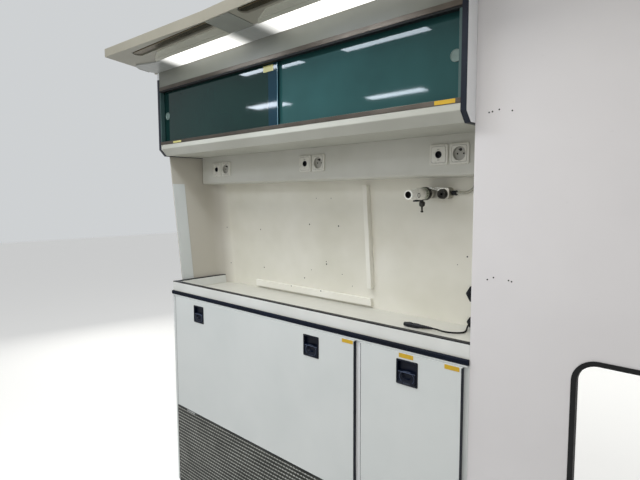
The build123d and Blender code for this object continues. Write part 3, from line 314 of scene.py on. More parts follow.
# Anodised bar shows fine drawn lines, tread sheet is duller, and plated steel brighter
railAluminium = metalFinish("bronzeAnodisedAluminium", "#5E574F", "#4E4841", 0.36, (60, 1, 1))
treadSheet = metalFinish("treadPatternAluminium", "#3B3C39", "#2B2C2A", 0.42, (18, 1, 1), 0.9, 0.02)
treadDash = metalFinish("wornTreadDash", "#A9AAA4", "#8E8F89", 0.34, (6, 1, 1), 0.8)
bronzeBar = metalFinish("bronzeAnodisedGrabBar", "#6B5F45", "#4F4633", 0.3, (50, 1, 1))
zincSteel = metalFinish("zincPlatedSteel", "#A9ABAA", "#8F9190", 0.36, (8, 1, 1))
castBlock = metalFinish("greyAnodisedBlock", "#B5B2A8", "#A09D93", 0.4, (12, 1, 1))
darkSteel = metalFinish("blackenedSteel", "#4A4946", "#33322F", 0.34, (3, 3, 1), 0.6)


def clearFinish(name, deep, pale, patchMm=240, smooth=0.03, dull=0.06, gloss=0.18, through=0.2, zone=None):
    # Tinted glass or clear plastic: a cloudy body colour under a polished face
    material, tree, shader, place = newMaterial(name)
    haze = grainAt(tree, place, patchMm, 3, 0.6)
    tone, polish = surfaceOver(tree, haze, [(0.3, deep), (0.7, pale)], haze, smooth, dull)
    if zone:
        tone = zoneOver(tree, tone, place, *zone)
    fillNode(tree, shader, {"Specular IOR Level": gloss, "Transmission Weight": through},
             {"Base Color": tone, "Roughness": polish})
    return material


# Toughened glass, dark in body. The left pane is painted darker than the right: painted shade. Where the right
# pane stands behind it, the left one is painted bluer: painted shade of the two panes
leftGlass = clearFinish("tealToughenedGlassShadedLeftPane", "#0A2C2A", "#10332F", zone=("X", -361, -356, "#0E3646"))
rightGlass = clearFinish("tealToughenedGlass", "#2A5151", "#325E5E")
# Soft PVC hose, cloudy with age
clearTube = clearFinish("cloudyClearPvcTube", "#BDBBAA", "#D6D5C8", 12, 0.12, 0.22, 0.5, 0.45)

lampZones = dict(
    # Lit stretches along X, in millimetres, with how far each end fades
    lit=((-838, -452, 55), (-272, 272, 55), (455, 838, 55)),
    strength=1.5, ridgeMm=5, ridgeDeep=0.6, glow="#FFFEFA", off="#A5A7A4", on="#E6E6E0",
)


def lampFinish(values):
    # Prismatic diffuser over strip lamps: the lit stretches glow, the rest is grey
    material, tree, shader, place = newMaterial("prismaticAcrylicDiffuser")
    along = addNode(tree, "ShaderNodeSeparateXYZ", None, {"Vector": place}).outputs["X"]
    total = None
    for low, high, fade in values["lit"]:
        edges = [(low - fade, low + fade), (high + fade, high - fade)]
        sides = [addNode(tree, "ShaderNodeMapRange",
                         {"From Min": start * mm, "From Max": end * mm, "interpolation_type": "SMOOTHSTEP"},
                         {"Value": along}).outputs["Result"] for start, end in edges]
        both = addNode(tree, "ShaderNodeMath", {"operation": "MULTIPLY"},
                       {0: sides[0], 1: sides[1]}).outputs["Value"]
        total = both if total is None else addNode(tree, "ShaderNodeMath", {"operation": "ADD"},
                                                   {0: total, 1: both}).outputs["Value"]
    glow = addNode(tree, "ShaderNodeMath", {"operation": "MULTIPLY", 1: values["strength"]},
                   {0: total}).outputs["Value"]
    tone = addNode(tree, "ShaderNodeValToRGB", {"stops": [(0.0, values["off"]), (1.0, values["on"])]},
                   {"Fac": total}).outputs["Color"]
    # Ridges both ways: a wave texture has 20 bands to the metre at a scale of 1
    waves = [addNode(tree, "ShaderNodeTexWave", {"bands_direction": axis, "wave_profile": "TRI",
                                                 "Scale": 1000 / values["ridgeMm"] / 20},
                     {"Vector": place}).outputs["Fac"] for axis in ("X", "Y")]
    grid = addNode(tree, "ShaderNodeMath", {"operation": "MULTIPLY"},
                   {0: waves[0], 1: waves[1]}).outputs["Value"]
    ridges = addNode(tree, "ShaderNodeBump", {"Strength": 1.0, "Distance": values["ridgeDeep"] * mm},
                     {"Height": grid}).outputs["Normal"]
    fillNode(tree, shader, {"Emission Color": colourOf(values["glow"]), "Roughness": 0.25},
             {"Base Color": tone, "Emission Strength": glow, "Normal": ridges})
    return material


lampLens = lampFinish(lampZones)
leadPiece.data.materials.append(blackRubber)
hosePiece.data.materials.append(clearTube)
print("materials ready")

# CAD nodes and the finish of each
finishes = {
    railLaminatePaintedLight: "front_rails locker_ends",
    whiteLaminate: "base_ends large_flap_panel small_flap_panel pillar_cover",
    trayLaminate: "worktop_tray",
    tallLaminate: "tall_front tall_sides",
    boardLaminate: "base_dividers cupboard_back cupboard_floor kick_board locker_back locker_top tall_boards",
    liningShell: "back_lining",
    channelShellPaintedShade: "socket_channel",
    lockerFloorPaintedShade: "locker_floor",
    trunkingPvc: "horizontal_trunking vertical_trunking",
    canopyShell: "canopy canopy_roof canopy_nose canopy_bridges",
    fasciaPaint: "locker_fascia",
    navyEdging: "locker_end_edgings",
    flapEdging: "large_flap_edging small_flap_edging",
    blackEdging: "upstand_edging",
    bumperVinyl: "bumper_strip",
    blackRubber: "rail_gasket hatch_trim",
    sealPlastic: "side_seals",
    platePlastic: "cover_plates",
    ribPlastic: "rib_strips",
    railAluminium: "lower_rail upper_rail",
    treadSheet: "kick_plate",
    bronzeBar: "grab_rails",
    zincSteel: "floor_brackets hinge_plates large_flap_hinge_leaves small_flap_hinge_leaves",
    leftGlass: "left_glass_pane",
    rightGlass: "right_glass_pane",
    lampLens: "lamps",
    blackMoulding: "hose_ferrule lead_outlet",
}
for finish, names in finishes.items():
    for name in names.split():
        data = nodes[name].data
        data.materials.clear()
        data.materials.append(finish)

# Softened edges on the CAD boards and mouldings: width in millimetres
softEdges = {
    0.3: "kick_plate",
    0.4: "large_flap_panel small_flap_panel rib_strips floor_brackets cupboard_floor base_dividers "
         "tall_boards pillar_cover kick_board locker_top",
    0.5: "locker_ends locker_fascia lower_rail upper_rail socket_channel",
    0.6: "large_flap_edging small_flap_edging locker_end_edgings front_rails base_ends tall_sides "
         "cover_plates side_seals",
    0.7: "bumper_strip",
    0.8: "rail_gasket",
    0.9: "upstand_edging lead_outlet",
    1.0: "tall_front",
    1.2: "worktop_tray",
    1.3: "hatch_trim",
    1.5: "vertical_trunking horizontal_trunking",
    1.6: "locker_floor grab_rails",
}
for width, names in softEdges.items():
    for name in names.split():
        weld = nodes[name].modifiers.new("weld", "WELD")
        weld.merge_threshold = 1e-5
        bevel = nodes[name].modifiers.new("bevel", "BEVEL")
        bevel.width, bevel.segments, bevel.limit_method = width * mm, 2, "ANGLE"
        bevel.angle_limit, bevel.use_clamp_overlap, bevel.harden_normals = math.radians(38), True, False
print("frame dressed")

# Which way a new shape's own depth points
facings = {
    "room": Matrix.Rotation(math.pi / 2, 4, "X"),
    "down": Matrix.Rotation(math.pi, 4, "X"),
    "up": Matrix.Identity(4),
    "right": Matrix.Rotation(math.pi / 2, 4, "Y"),
}


def sizesOf(values, names):
    return (values[name] for name in names.split())


def once(items):
    # Each item once, in a fixed order
    return list(dict.fromkeys(items))


def roundStation(depth, across, rise=0.0):
    # A circle is a rounded square that is almost all corner
    return (depth, across, across, across / 2 - 0.001, rise)


def addRings(form, stations, origin, quarter=8, facing="room", closed=False, bow=0.0):
    # One ring, extruded from station to station, in millimetres: (depth, across) for a circle or
    # (depth, width, height, corner) for a rounded rectangle, and either may end with its rise. A closed run
    # joins its last ring to its first, and any other run has a cap at each end.
    stations = [(*station, 0)[:5] if len(station) > 3 else roundStation(*station) for station in stations]
    place = Matrix.Translation(origin) @ facings[facing]
    widest = max(station[1] for station in stations)
    ring = bmesh.ops.create_circle(form, segments=4 * quarter, radius=1)["verts"]
    bmesh.ops.rotate(form, verts=ring, cent=(0, 0, 0), matrix=Matrix.Rotation(math.pi / 4 / quarter, 3, "Z"))
    compass = [vert.co.copy() for vert in ring]
    edges = once(edge for vert in ring for edge in vert.link_edges)
    firstEdges = edges
    for number, (depth, width, height, corner, rise) in enumerate(stations):
        if number:
            grown = bmesh.ops.extrude_edge_only(form, edges=edges)["geom"]
            fresh = {item for item in grown if isinstance(item, bmesh.types.BMVert)}
            ring = [next(edge.other_vert(vert) for edge in vert.link_edges if edge.other_vert(vert) in fresh)
                    for vert in ring]
            edges = [item for item in grown
                     if isinstance(item, bmesh.types.BMEdge) and set(item.verts) <= fresh]
        for vert, way in zip(ring, compass):
            across = way.x * corner + math.copysign(width / 2 - corner, way.x)
            along = way.y * corner + math.copysign(height / 2 - corner, way.y)
            # An arch bends what lies above the middle, and fades out over 10 mm below it
            along -= bow * (2 * across / widest) ** 2 * min(1, max(0, (along + rise) / 10 + 1))
            vert.co = place @ (Vector((across, along + rise, depth)) * mm)
    if closed:
        bmesh.ops.bridge_loops(form, edges=edges + firstEdges)
    else:
        bmesh.ops.contextual_create(form, geom=firstEdges)
        bmesh.ops.contextual_create(form, geom=edges)


def addBlock(form, low, high, corner=0.0, cornerAxis=None, edge=0.0, steps=4):
    # A box in metres, with the edges along one axis rounded and all the others softened
    made = bmesh.ops.create_cube(form, size=1)["verts"]
    low, high = Vector(low), Vector(high)
    bmesh.ops.scale(form, vec=high - low, verts=made)
    bmesh.ops.translate(form, vec=(low + high) / 2, verts=made)
    edges = once(e for v in made for e in v.link_edges)
    if corner:
        along = [e for e in edges if abs((e.verts[0].co - e.verts[1].co)[cornerAxis]) > 1e-7]
        bevelled = bmesh.ops.bevel(form, geom=along, offset=corner, segments=steps, profile=0.5,
                                   affect="EDGES", material=-1)
        # Of the rounded box, only what still turns sharply is softened
        edges = once(e for f in bevelled["faces"] for v in f.verts for e in v.link_edges
                     if e.is_manifold and e.calc_face_angle(0) > 0.8)
    if edge:
        bmesh.ops.bevel(form, geom=edges, offset=edge, segments=2, profile=0.5, affect="EDGES", material=-1)


def addTeeth(form, centre, radius, count, start, end, wide, proud):
    # Knurling: short ribs round a barrel that points at the room
    for turn in range(count):
        angle = turn * math.tau / count
        before = len(form.verts)
        addBlock(form, (-wide / 2 * mm, -end * mm, -proud * mm), (wide / 2 * mm, -start * mm, proud * mm))
        form.verts.ensure_lookup_table()
        made = form.verts[before:]
        outward = Vector((math.sin(-angle), 0, math.cos(angle)))
        bmesh.ops.rotate(form, verts=made, cent=(0, 0, 0), matrix=Matrix.Rotation(-angle, 3, "Y"))
        bmesh.ops.translate(form, verts=made, vec=centre + outward * radius * mm)


def finishPiece(form, name, finish, sharp=35, replaced=(), body="cabinet"):
    # Puts a finished shape in the scene on its body, in place of the CAD nodes it stands for
    bmesh.ops.remove_doubles(form, verts=form.verts, dist=1e-6)
    bmesh.ops.recalc_face_normals(form, faces=form.faces)
    mesh = bpy.data.meshes.new(name)
    form.to_mesh(mesh)
    form.free()
    mesh.materials.append(finish)
    mesh.shade_smooth()
    mesh.set_sharp_from_angle(angle=math.radians(sharp))
    piece = bpy.data.objects.new(name, mesh)
    scene.collection.objects.link(piece)
    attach(piece, body)
    if replaced:
        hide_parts(*replaced)
    return piece


# Plug of the lead: a ribbed tapered boot, a slim body with a latch bump, two pins
plug = dict(boot=48, body=46, across=15, ribs=5, firstRib=5, ribPitch=6.2, ribAcross=7.4, ribGrowth=0.95)
plugForm = bmesh.new()
plugStart = Vector(leadPoints[-1])
plugAxis = (plugStart - Vector(leadPoints[-2])).normalized()
bootRings = [(0, 6.6)]
for rib in range(plug["ribs"]):
    # Each rib swells a little over the boot's taper
    depth = plug["firstRib"] + rib * plug["ribPitch"]
    across = plug["ribAcross"] + rib * plug["ribGrowth"]
    bootRings += [(depth, across - 0.6), (depth + 0.8, across + 0.5), (depth + 3.4, across + 0.8),
                  (depth + 4.2, across - 0.2)]
bootEnd, plugEnd, across = plug["boot"], plug["boot"] + plug["body"], plug["across"]
addRings(plugForm, bootRings + [
    (bootEnd - 9, 12.2), (bootEnd - 2, across - 0.8), (bootEnd, across), (bootEnd + 13, across),
    (bootEnd + 13.6, across - 1.2), (bootEnd + 16, across - 1.2), (bootEnd + 16.6, across),
    (plugEnd - 9, across), (plugEnd - 8.4, across - 1.6), (plugEnd - 1, across - 2),
    (plugEnd, across - 3.4), (plugEnd, across - 6), (plugEnd - 7, across - 6.6),
], (0, 0, 0), 6, "up")
addRings(plugForm, [(bootEnd + 21, 5, 2, 0.8, 6.6), (bootEnd + 21, 5, 2.6, 0.8, 6.9),
                    (bootEnd + 31, 5, 2.6, 0.8, 6.9), (bootEnd + 33, 4, 1, 0.4, 6.2)], (0, 0, 0), 3, "up")
for spread in (-1, 1):
    addRings(plugForm, [(plugEnd - 8, 1.8, spread * 1.7), (plugEnd - 1.5, 1.8, spread * 1.7),
                        (plugEnd - 1, 1, spread * 1.7)], (0, 0, 0), 3, "up")
plugTurn = plugAxis.to_track_quat("Z", "Y").to_matrix().to_4x4()
bmesh.ops.transform(plugForm, verts=plugForm.verts, matrix=Matrix.Translation(plugStart) @ plugTurn)
plugPiece = finishPiece(plugForm, "leadPlug", blackMoulding, replaced=["lead_plug"])

# Gland nut's washer and the hollow in the blank hexagon
blank = dict(x=0.226, z=worktopZ + 0.106, hollow=36)
form, hollow = bmesh.new(), blank["hollow"]
addRings(form, [(-1, 21), (1.2, 21), (2.2, 19), (2.2, 15.4), (-1, 15)],
         (gland["x"], gland["y"] + 0.010, gland["z"]), closed=True)
addRings(form, [(-1, hollow), (1.0, hollow), (1.6, hollow - 2), (1.6, hollow - 8), (0.4, hollow - 10),
                (-1, hollow - 10)],
         (blank["x"], gland["y"] + 0.0005, blank["z"]), 10, closed=True)
finishPiece(form, "glandRings", blackMoulding)

# Crimp band on the hose's ferrule, and the grommet where the hose enters the channel
form = bmesh.new()
addRings(form, [(-5, 15), (-4.4, 15.8), (-1.6, 15.8), (-1, 15), (-1, 13), (-5, 13)],
         hoseStart, facing="right", closed=True)
addBlock(form, hoseStart + Vector((-0.0046, -0.0110, -0.0015)),
         hoseStart + Vector((-0.0014, -0.0072, 0.0015)), edge=0.0003)
finishPiece(form, "hoseClip", blackMoulding)
form = bmesh.new()
addRings(form, [(-2, 17), (1.6, 17), (2.8, 15.4), (2.8, 9.6), (-2, 9.3)],
         hosePoints[-1], facing="down", closed=True)
finishPiece(form, "hoseGrommet", blackRubber)
print("cords ready")

# Latches: a rimmed frame, a deep pocket above and a dished thumb piece below an arched lip
latch = dict(flange=66, tall=67, corner=2.5, rim=3, proud=2.5, bodyAcross=59, bodyDepth=25, pocket=8, arch=5,
             dishWide=56.5, dishTop=7, dishBottom=-28.5, bowlWide=33, bowlTall=24, bowlRise=-7,
             bowlDepth=6.5, ringWide=47, ringTall=34, ringRise=-12.2, lipWide=54, lipTall=1.5, lipRise=5.8,
             gasket=2.6, gasketProud=0.9)


def makeLatches(flap, values):
    low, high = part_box(f"{flap}_latches")
    wide, tall, corner, rim, proud, body, pocket, arch = sizesOf(
        values, "flange tall corner rim proud bodyAcross pocket arch")
    dish, bowl, bowlTall, bowlRise = sizesOf(values, "dishWide bowlWide bowlTall bowlRise")
    ring, ringTall, ringRise = sizesOf(values, "ringWide ringTall ringRise")
    lip, lipTall, lipRise = sizesOf(values, "lipWide lipTall lipRise")
    height = values["dishTop"] - values["dishBottom"]
    middle = (values["dishTop"] + values["dishBottom"]) / 2
    face, outer, shade = proud - 0.9, values["gasket"], values["gasketProud"]
    form, gasketForm, highlightForm = bmesh.new(), bmesh.new(), bmesh.new()
    for x in sorted({round(low.x + wide / 2 * mm, 5), round(high.x - wide / 2 * mm, 5)}):
        origin = (x, flapFaceY, (low.z + high.z) / 2)
        addRings(form, [
            (-values["bodyDepth"], body, body, 1), (0, body, body, 1), (0, wide, tall, corner),
            (proud - 0.7, wide, tall, corner), (proud, wide - 1.4, tall - 1.4, corner),
            (proud, wide - 2 * rim + 1, tall - 2 * rim + 1, 2),
            (proud - 0.6, wide - 2 * rim, tall - 2 * rim, 2),
            (0, body - 1.4, body - 1, 2), (-pocket, body - 2.2, body - 1.8, 2),
        ], origin, 6)
        addRings(form, [
            (-pocket - 0.5, dish, height, 3, middle), (face - 1.0, dish, height, 3, middle),
            (face, dish - 1.6, height - 1.6, 3, middle), (face, dish - 5, height - 5, 3, middle),
            (face - 1.1, dish - 6.4, height - 6.4, 4, middle), (face - 1.1, bowl, bowlTall, 11.8, bowlRise),
            (face - 0.6, bowl - 1, bowlTall - 1, 11.4, bowlRise),
            (face - 2.6, bowl - 3, bowlTall - 3, 10.4, bowlRise),
            (face - values["bowlDepth"], bowl - 9, bowlTall - 8, 7.5, bowlRise),
        ], origin, bow=arch)
        # Thin ring round the dish, and the lip's edge, in a paler nylon: painted highlight
        addRings(highlightForm, [
            (face - 1.4, ring, ringTall, 16.5, ringRise),
            (face - 0.5, ring - 0.3, ringTall - 0.3, 16.3, ringRise),
            (face - 0.5, ring - 1.7, ringTall - 1.7, 15.7, ringRise),
            (face - 1.4, ring - 2.0, ringTall - 2.0, 15.4, ringRise),
        ], origin, closed=True, bow=arch * 0.7)
        addRings(highlightForm, [
            (face - 0.6, lip, lipTall, 0.7, lipRise), (face + 0.15, lip, lipTall, 0.7, lipRise),
            (face + 0.35, lip - 1, lipTall - 0.6, 0.4, lipRise),
        ], origin, 6, bow=arch)
        addRings(gasketForm, [
            (-0.2, wide + outer, tall + outer, 3.2), (shade * 0.6, wide + outer, tall + outer, 3.2),
            (shade, wide + outer - 1, tall + outer - 1, 3), (shade, wide - 1, tall - 1, 2.5),
            (-0.2, wide - 1, tall - 1, 2.5),
        ], origin, 6, closed=True)
    finishPiece(form, f"{flap}Latches", latchNylon, 30, [f"{flap}_latches"], flap)
    finishPiece(gasketForm, f"{flap}LatchGaskets", blackRubber, body=flap)
    finishPiece(highlightForm, f"{flap}LatchRings", nylonPaintedHighlight, body=flap)


for flap in ("large_flap", "small_flap"):
    makeLatches(flap, latch)
print("latches ready")

# White strip in the gap between the bumper strip and the flaps
headStrip = dict(bottom=840.3, top=845.0, reach=7.0)
bumperLow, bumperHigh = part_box("bumper_strip")
form = bmesh.new()
addBlock(form, (bumperLow.x + 2 * mm, bumperHigh.y - headStrip["reach"] * mm, headStrip["bottom"] * mm),
         (bumperHigh.x - 2 * mm, bumperHigh.y + 0.3 * mm, headStrip["top"] * mm), edge=0.8 * mm)
finishPiece(form, "flapHeadStrip", whiteLaminate)

# Sockets: square plates with an insert line, on bodies that go through the channel
socket = dict(plate=58, corner=5.5, thick=6, body=43.6, bodyDepth=20, insert=45, insertCorner=6, groove=1.5,
              wellAcross=39, wellDepth=10, contactPitch=9.5, earthRise=11, lowAcross=20.4, lowDepth=9,
              notchWide=8, notchRise=15)


def socketCentres(node, plate):
    # Three in a row: the outer two lie flush with the CAD node's ends
    low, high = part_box(node)
    first, last = low.x + plate / 2 * mm, high.x - plate / 2 * mm
    return [Vector((x, channelFaceY, (low.z + high.z) / 2)) for x in (first, (first + last) / 2, last)]


def addPlate(form, values, well, wellEnd, origin):
    # From the back of the body out to the plate's face, in to the well's edge and down to its floor
    plate, corner, thick, body, insert, insertCorner, groove = sizesOf(
        values, "plate corner thick body insert insertCorner groove")
    outer = insert + 2 * groove
    addRings(form, [
        (-values["bodyDepth"], body, body, 2), (0, body, body, 2), (0, plate, plate, corner),
        (thick - 1.8, plate, plate, corner), (thick - 0.5, plate - 1.2, plate - 1.2, corner),
        (thick, plate - 3, plate - 3, corner), (thick, outer, outer, insertCorner + groove),
        (thick - 2, outer - 0.4, outer - 0.4, insertCorner + groove),
        (thick - 2, insert, insert, insertCorner), (thick + 0.3, insert - 0.6, insert - 0.6, insertCorner),
        (thick + 0.3, well + 1), (thick - 0.3, well), wellEnd,
    ], origin, 10)
    # The shaded bottom of the line round the insert
    addRings(grooveForm, [
        (thick - 2.2, outer - 0.6, outer - 0.6, insertCorner + 1),
        (thick - 1.0, outer - 0.6, outer - 0.6, insertCorner + 1),
        (thick - 1.0, insert + 0.2, insert + 0.2, insertCorner),
        (thick - 2.2, insert + 0.2, insert + 0.2, insertCorner),
    ], origin, 10, closed=True)


socketForm, darkForm, pinForm, wellForm, grooveForm = (bmesh.new() for piece in range(5))
thick, well = socket["thick"], socket["wellAcross"]
floor = thick - socket["wellDepth"]
for origin in socketCentres("mains_sockets", socket["plate"]):
    addPlate(socketForm, socket, well, (floor, well - 0.8), origin)
    # The well's walls and floor in the grey of painted shade
    addRings(wellForm, [(floor - 0.4, well - 1.6), (thick - 0.6, well - 0.5), (thick - 0.6, well - 1.4),
                        (floor + 1.0, well - 2.2), (floor + 0.4, well - 4)], origin, 10)
    for side in (-1, 1):
        spot = origin + Vector((side * socket["contactPitch"] * mm, 0, 0))
        addRings(wellForm, [(floor - 0.5, 7.4), (floor + 1.0, 7.2), (floor + 1.2, 6.6),
                            (floor + 1.2, 5.2), (floor - 0.5, 5)], spot, 4, closed=True)
        # Black discs on the floor of the contact holes: painted shade
        addRings(darkForm, [(floor - 0.5, 5.2), (floor + 0.6, 5.2)], spot, 4)
    spot = origin + Vector((0, 0, socket["earthRise"] * mm))
    addRings(pinForm, [(floor - 1, 4.8), (thick - 2.6, 4.8), (thick - 1.2, 4.2), (thick - 0.6, 2.4)], spot, 5)
    # A black disc round the earth pin: painted shade
    addRings(darkForm, [(floor - 0.5, 8.4), (floor + 0.7, 8.4)], spot, 5)
finishPiece(socketForm, "mainsSocketPlates", socketAbs, 30, ["mains_sockets"])
finishPiece(pinForm, "earthPins", darkSteel)
finishPiece(wellForm, "mainsSocketWells", wellAbsPaintedShade, 30)

lowForm, rimForm = bmesh.new(), bmesh.new()
well = socket["lowAcross"]
floor = thick - socket["lowDepth"]
for origin in socketCentres("low_voltage_sockets", socket["plate"]):
    addPlate(lowForm, socket, well, (floor - 1, well), origin)
    addRings(rimForm, [(floor - 0.8, 20), (thick + 0.6, 20), (thick + 1.2, 19),
                       (thick + 1.2, 16.6), (thick + 0.4, 15.6), (floor, 15)], origin)
    for side in (-1, 1):
        # Dark notch marks beside the insert: painted shade
        mark = origin + Vector((0, -thick * mm, side * socket["notchRise"] * mm))
        half = Vector((socket["notchWide"] / 2, 0.5, 0.45)) * mm
        addBlock(darkForm, mark - half, mark + half, edge=0.0002)
        addRings(rimForm, [(floor - 0.5, 3.2, 2.5), (floor + 3.5, 3.2, 2.5), (floor + 4, 2.4, 2.5)],
                 origin + Vector((side * 4 * mm, 0, 0)), 3)
    addRings(rimForm, [(floor - 0.5, 4.4, -3.5), (floor + 3.5, 4.4, -3.5), (floor + 4, 3.4, -3.5)], origin, 4)
finishPiece(lowForm, "lowVoltageSocketPlates", socketAbs, 30, ["low_voltage_sockets"])
finishPiece(rimForm, "lowVoltageInserts", blackMoulding)
finishPiece(darkForm, "socketHoles", deepShadow)
finishPiece(grooveForm, "socketGrooves", wellAbsPaintedShade, 30)
print("sockets ready")

# Finger pulls on the glass: a thin ring round a shallow dish
pull = dict(across=30, rim=1.3, proud=2.0, dish=0.9)
proud, inner, dish = pull["proud"], pull["across"] - 2 * pull["rim"], pull["proud"] - pull["dish"]
for side in ("left", "right"):
    low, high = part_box(f"{side}_glass_pull")
    form = bmesh.new()
    addRings(form, [(0, pull["across"]), (proud - 0.5, pull["across"]), (proud, pull["across"] - 0.8),
                    (proud, inner), (dish, inner - 1.6), (dish - 0.1, inner - 8)],
             ((low.x + high.x) / 2, high.y, (low.z + high.z) / 2), 10)
    finishPiece(form, f"{side}GlassPull", pullPlastic, 30, [f"{side}_glass_pull"],
                f"{side}_glass")

# Oxygen terminal: a faceted flow selector with a hanging nipple, and a plain knurled outlet
blockLow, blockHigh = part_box("oxygen_block")
selectorLow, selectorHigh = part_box("flow_selector")
terminalZ = (blockLow.z + blockHigh.z) / 2
selector = dict(x=0.092, neck=24, flange=30, ring=39, body=38, nose=30, bore=21, boreDepth=16, facets=3,
                nippleReach=55, dip=2.4, dialMarks=(-6.5, 1.5, 8))
neck, flange, ring, drum, nose, bore = sizesOf(selector, "neck flange ring body nose bore")
reach = (selectorHigh.y - selectorLow.y) / mm
boreEnd = reach - selector["boreDepth"]
selectorAt = Vector((selector["x"], selectorHigh.y, terminalZ))


def dipForm(form):
    # Square to the sloping lining
    bmesh.ops.rotate(form, verts=form.verts, cent=selectorAt,
                     matrix=Matrix.Rotation(math.radians(selector["dip"]), 3, "X"))


form = bmesh.new()
addRings(form, [
    (45, neck), (58, neck), (60.5, drum - 1.4), (62, drum + 0.8), (80, drum + 0.8), (85, drum - 1.5),
    (89, nose + 3.2), (104, nose + 3.2), (107, nose + 1.8), (reach - 6, nose + 0.6), (reach - 1.5, nose),
    (reach, nose - 2), (reach, bore + 1.4), (reach - 1, bore), (boreEnd, bore - 1),
], selectorAt, selector["facets"])
facetEdges = [edge for edge in form.edges
              if abs(edge.verts[0].co.y - edge.verts[1].co.y) > 5 * mm and edge.is_manifold]
bmesh.ops.bevel(form, geom=facetEdges, offset=1.4 * mm, segments=2, profile=0.5, affect="EDGES", material=-1)
dipForm(form)
finishPiece(form, "selectorBody", selectorEnamel, 30, ["flow_selector"])

form = bmesh.new()
addRings(form, [(44, drum - 2), (45, drum - 0.4), (59.5, drum - 0.4), (60.3, drum - 1.8), (60.3, neck)],
         selectorAt, 10)
dipForm(form)
finishPiece(form, "selectorDial", bandEnamel, 30)
form = bmesh.new()
# Scale marks on the dial, painted shade in the round groove on the nose and lining the bore, and the belly's
# catch
for rise in selector["dialMarks"]:
    beside = math.sqrt((drum / 2 - 0.2) ** 2 - rise ** 2)
    spot = selectorAt + Vector((beside, -53, rise)) * mm
    addBlock(form, spot - Vector((0.8, 3.2, 1.1)) * mm, spot + Vector((0.35, 3.2, 1.1)) * mm, edge=0.0003)
addRings(form, [(16.2, 13.6), (17.1, 13.4), (17.1, 11.6), (16.2, 11.4)],
         selectorAt + Vector((0, -0.100, -0.003)), facing="right", closed=True)
addRings(form, [(boreEnd + 0.3, bore - 2), (reach - 1.4, bore - 0.9), (reach - 1.8, bore - 3),
                (boreEnd + 1, bore - 4)], selectorAt)
addBlock(form, selectorAt + Vector((-0.006, -0.098, -0.0220)),
         selectorAt + Vector((0.006, -0.066, -0.0175)), edge=0.0008)
dipForm(form)
finishPiece(form, "selectorShadows", deepShadow)

form = bmesh.new()
addRings(form, [(29.5, neck - 1), (29.5, ring - 1.6), (30.5, ring), (43.5, ring),
                (44.5, ring - 1.6), (44.5, neck - 1)], selectorAt, 12)
addTeeth(form, selectorAt, ring / 2, 40, 31.5, 43, 1.4, 0.6)
dipForm(form)
neckForm = bmesh.new()
addRings(neckForm, [(11, flange), (14, flange), (15, flange - 2),
                    (18, flange - 2), (19, neck), (30, neck)], selectorAt)
dipForm(neckForm)
finishPiece(neckForm, "selectorNeck", castBlock, 30)
# Nipple: a ball collar and a stem with a small round tip
nippleAt = selectorAt + Vector((0, -selector["nippleReach"] * mm, 0))
tip = (terminalZ - selectorLow.z) / mm
addRings(form, [(17, 14), (20.5, 13), (21, 9), (25, 9), (26, 15), (29, 18), (34, 18.4),
                (39, 16), (41, 11), (42, 6.4), (tip - 6, 5.2), (tip - 5, 8), (tip - 2.5, 9),
                (tip - 0.6, 7), (tip, 4)], nippleAt, 6, "down")
finishPiece(form, "selectorFittings", darkSteel, 30)

form = bmesh.new()
addBlock(form, blockLow, blockHigh, corner=8 * mm, cornerAxis=1, edge=1.2 * mm)
finishPiece(form, "terminalBlock", castBlock, 30, ["oxygen_block"])

outlet = dict(across=29, reach=14, bore=9, fromBlockEdge=67, drop=3)
wide, deep, hole = outlet["across"], outlet["reach"], outlet["bore"]
outletAt = Vector((blockLow.x + outlet["fromBlockEdge"] * mm, blockLow.y + mm,
                   terminalZ - outlet["drop"] * mm))
form = bmesh.new()
addRings(form, [(-1, wide + 1.5), (1.5, wide + 1.5), (2.2, wide - 3), (3.2, wide - 3), (3.6, wide - 0.8),
                (deep - 1, wide - 0.8), (deep, wide - 2.4), (deep, hole + 7), (deep - 1, hole + 5),
                (deep - 1, hole + 1), (-0.5, hole)], outletAt)
addTeeth(form, outletAt, wide / 2 - 0.4, 30, 4, deep - 2.4, 1.3, 0.5)
finishPiece(form, "plainOutlet", darkSteel, 30)
# Painted shade: black lining the outlet's bore, and black discs in the block's holes
form = bmesh.new()
addRings(form, [(0, hole - 0.6), (deep - 2, hole - 0.4), (deep - 2.4, hole - 2), (1, hole - 2.4)],
         outletAt, 6)
blockHoles = [(-28, 9), (-28, -8), (-20, 12), (31, 3)]
for x, z in blockHoles:
    spot = Vector(((blockLow.x + blockHigh.x) / 2 + x * mm, blockLow.y, terminalZ + z * mm))
    addRings(form, [(-1, 5), (0.25, 5)], spot, 4)
finishPiece(form, "terminalHoles", deepShadow)
print("oxygen terminal ready")

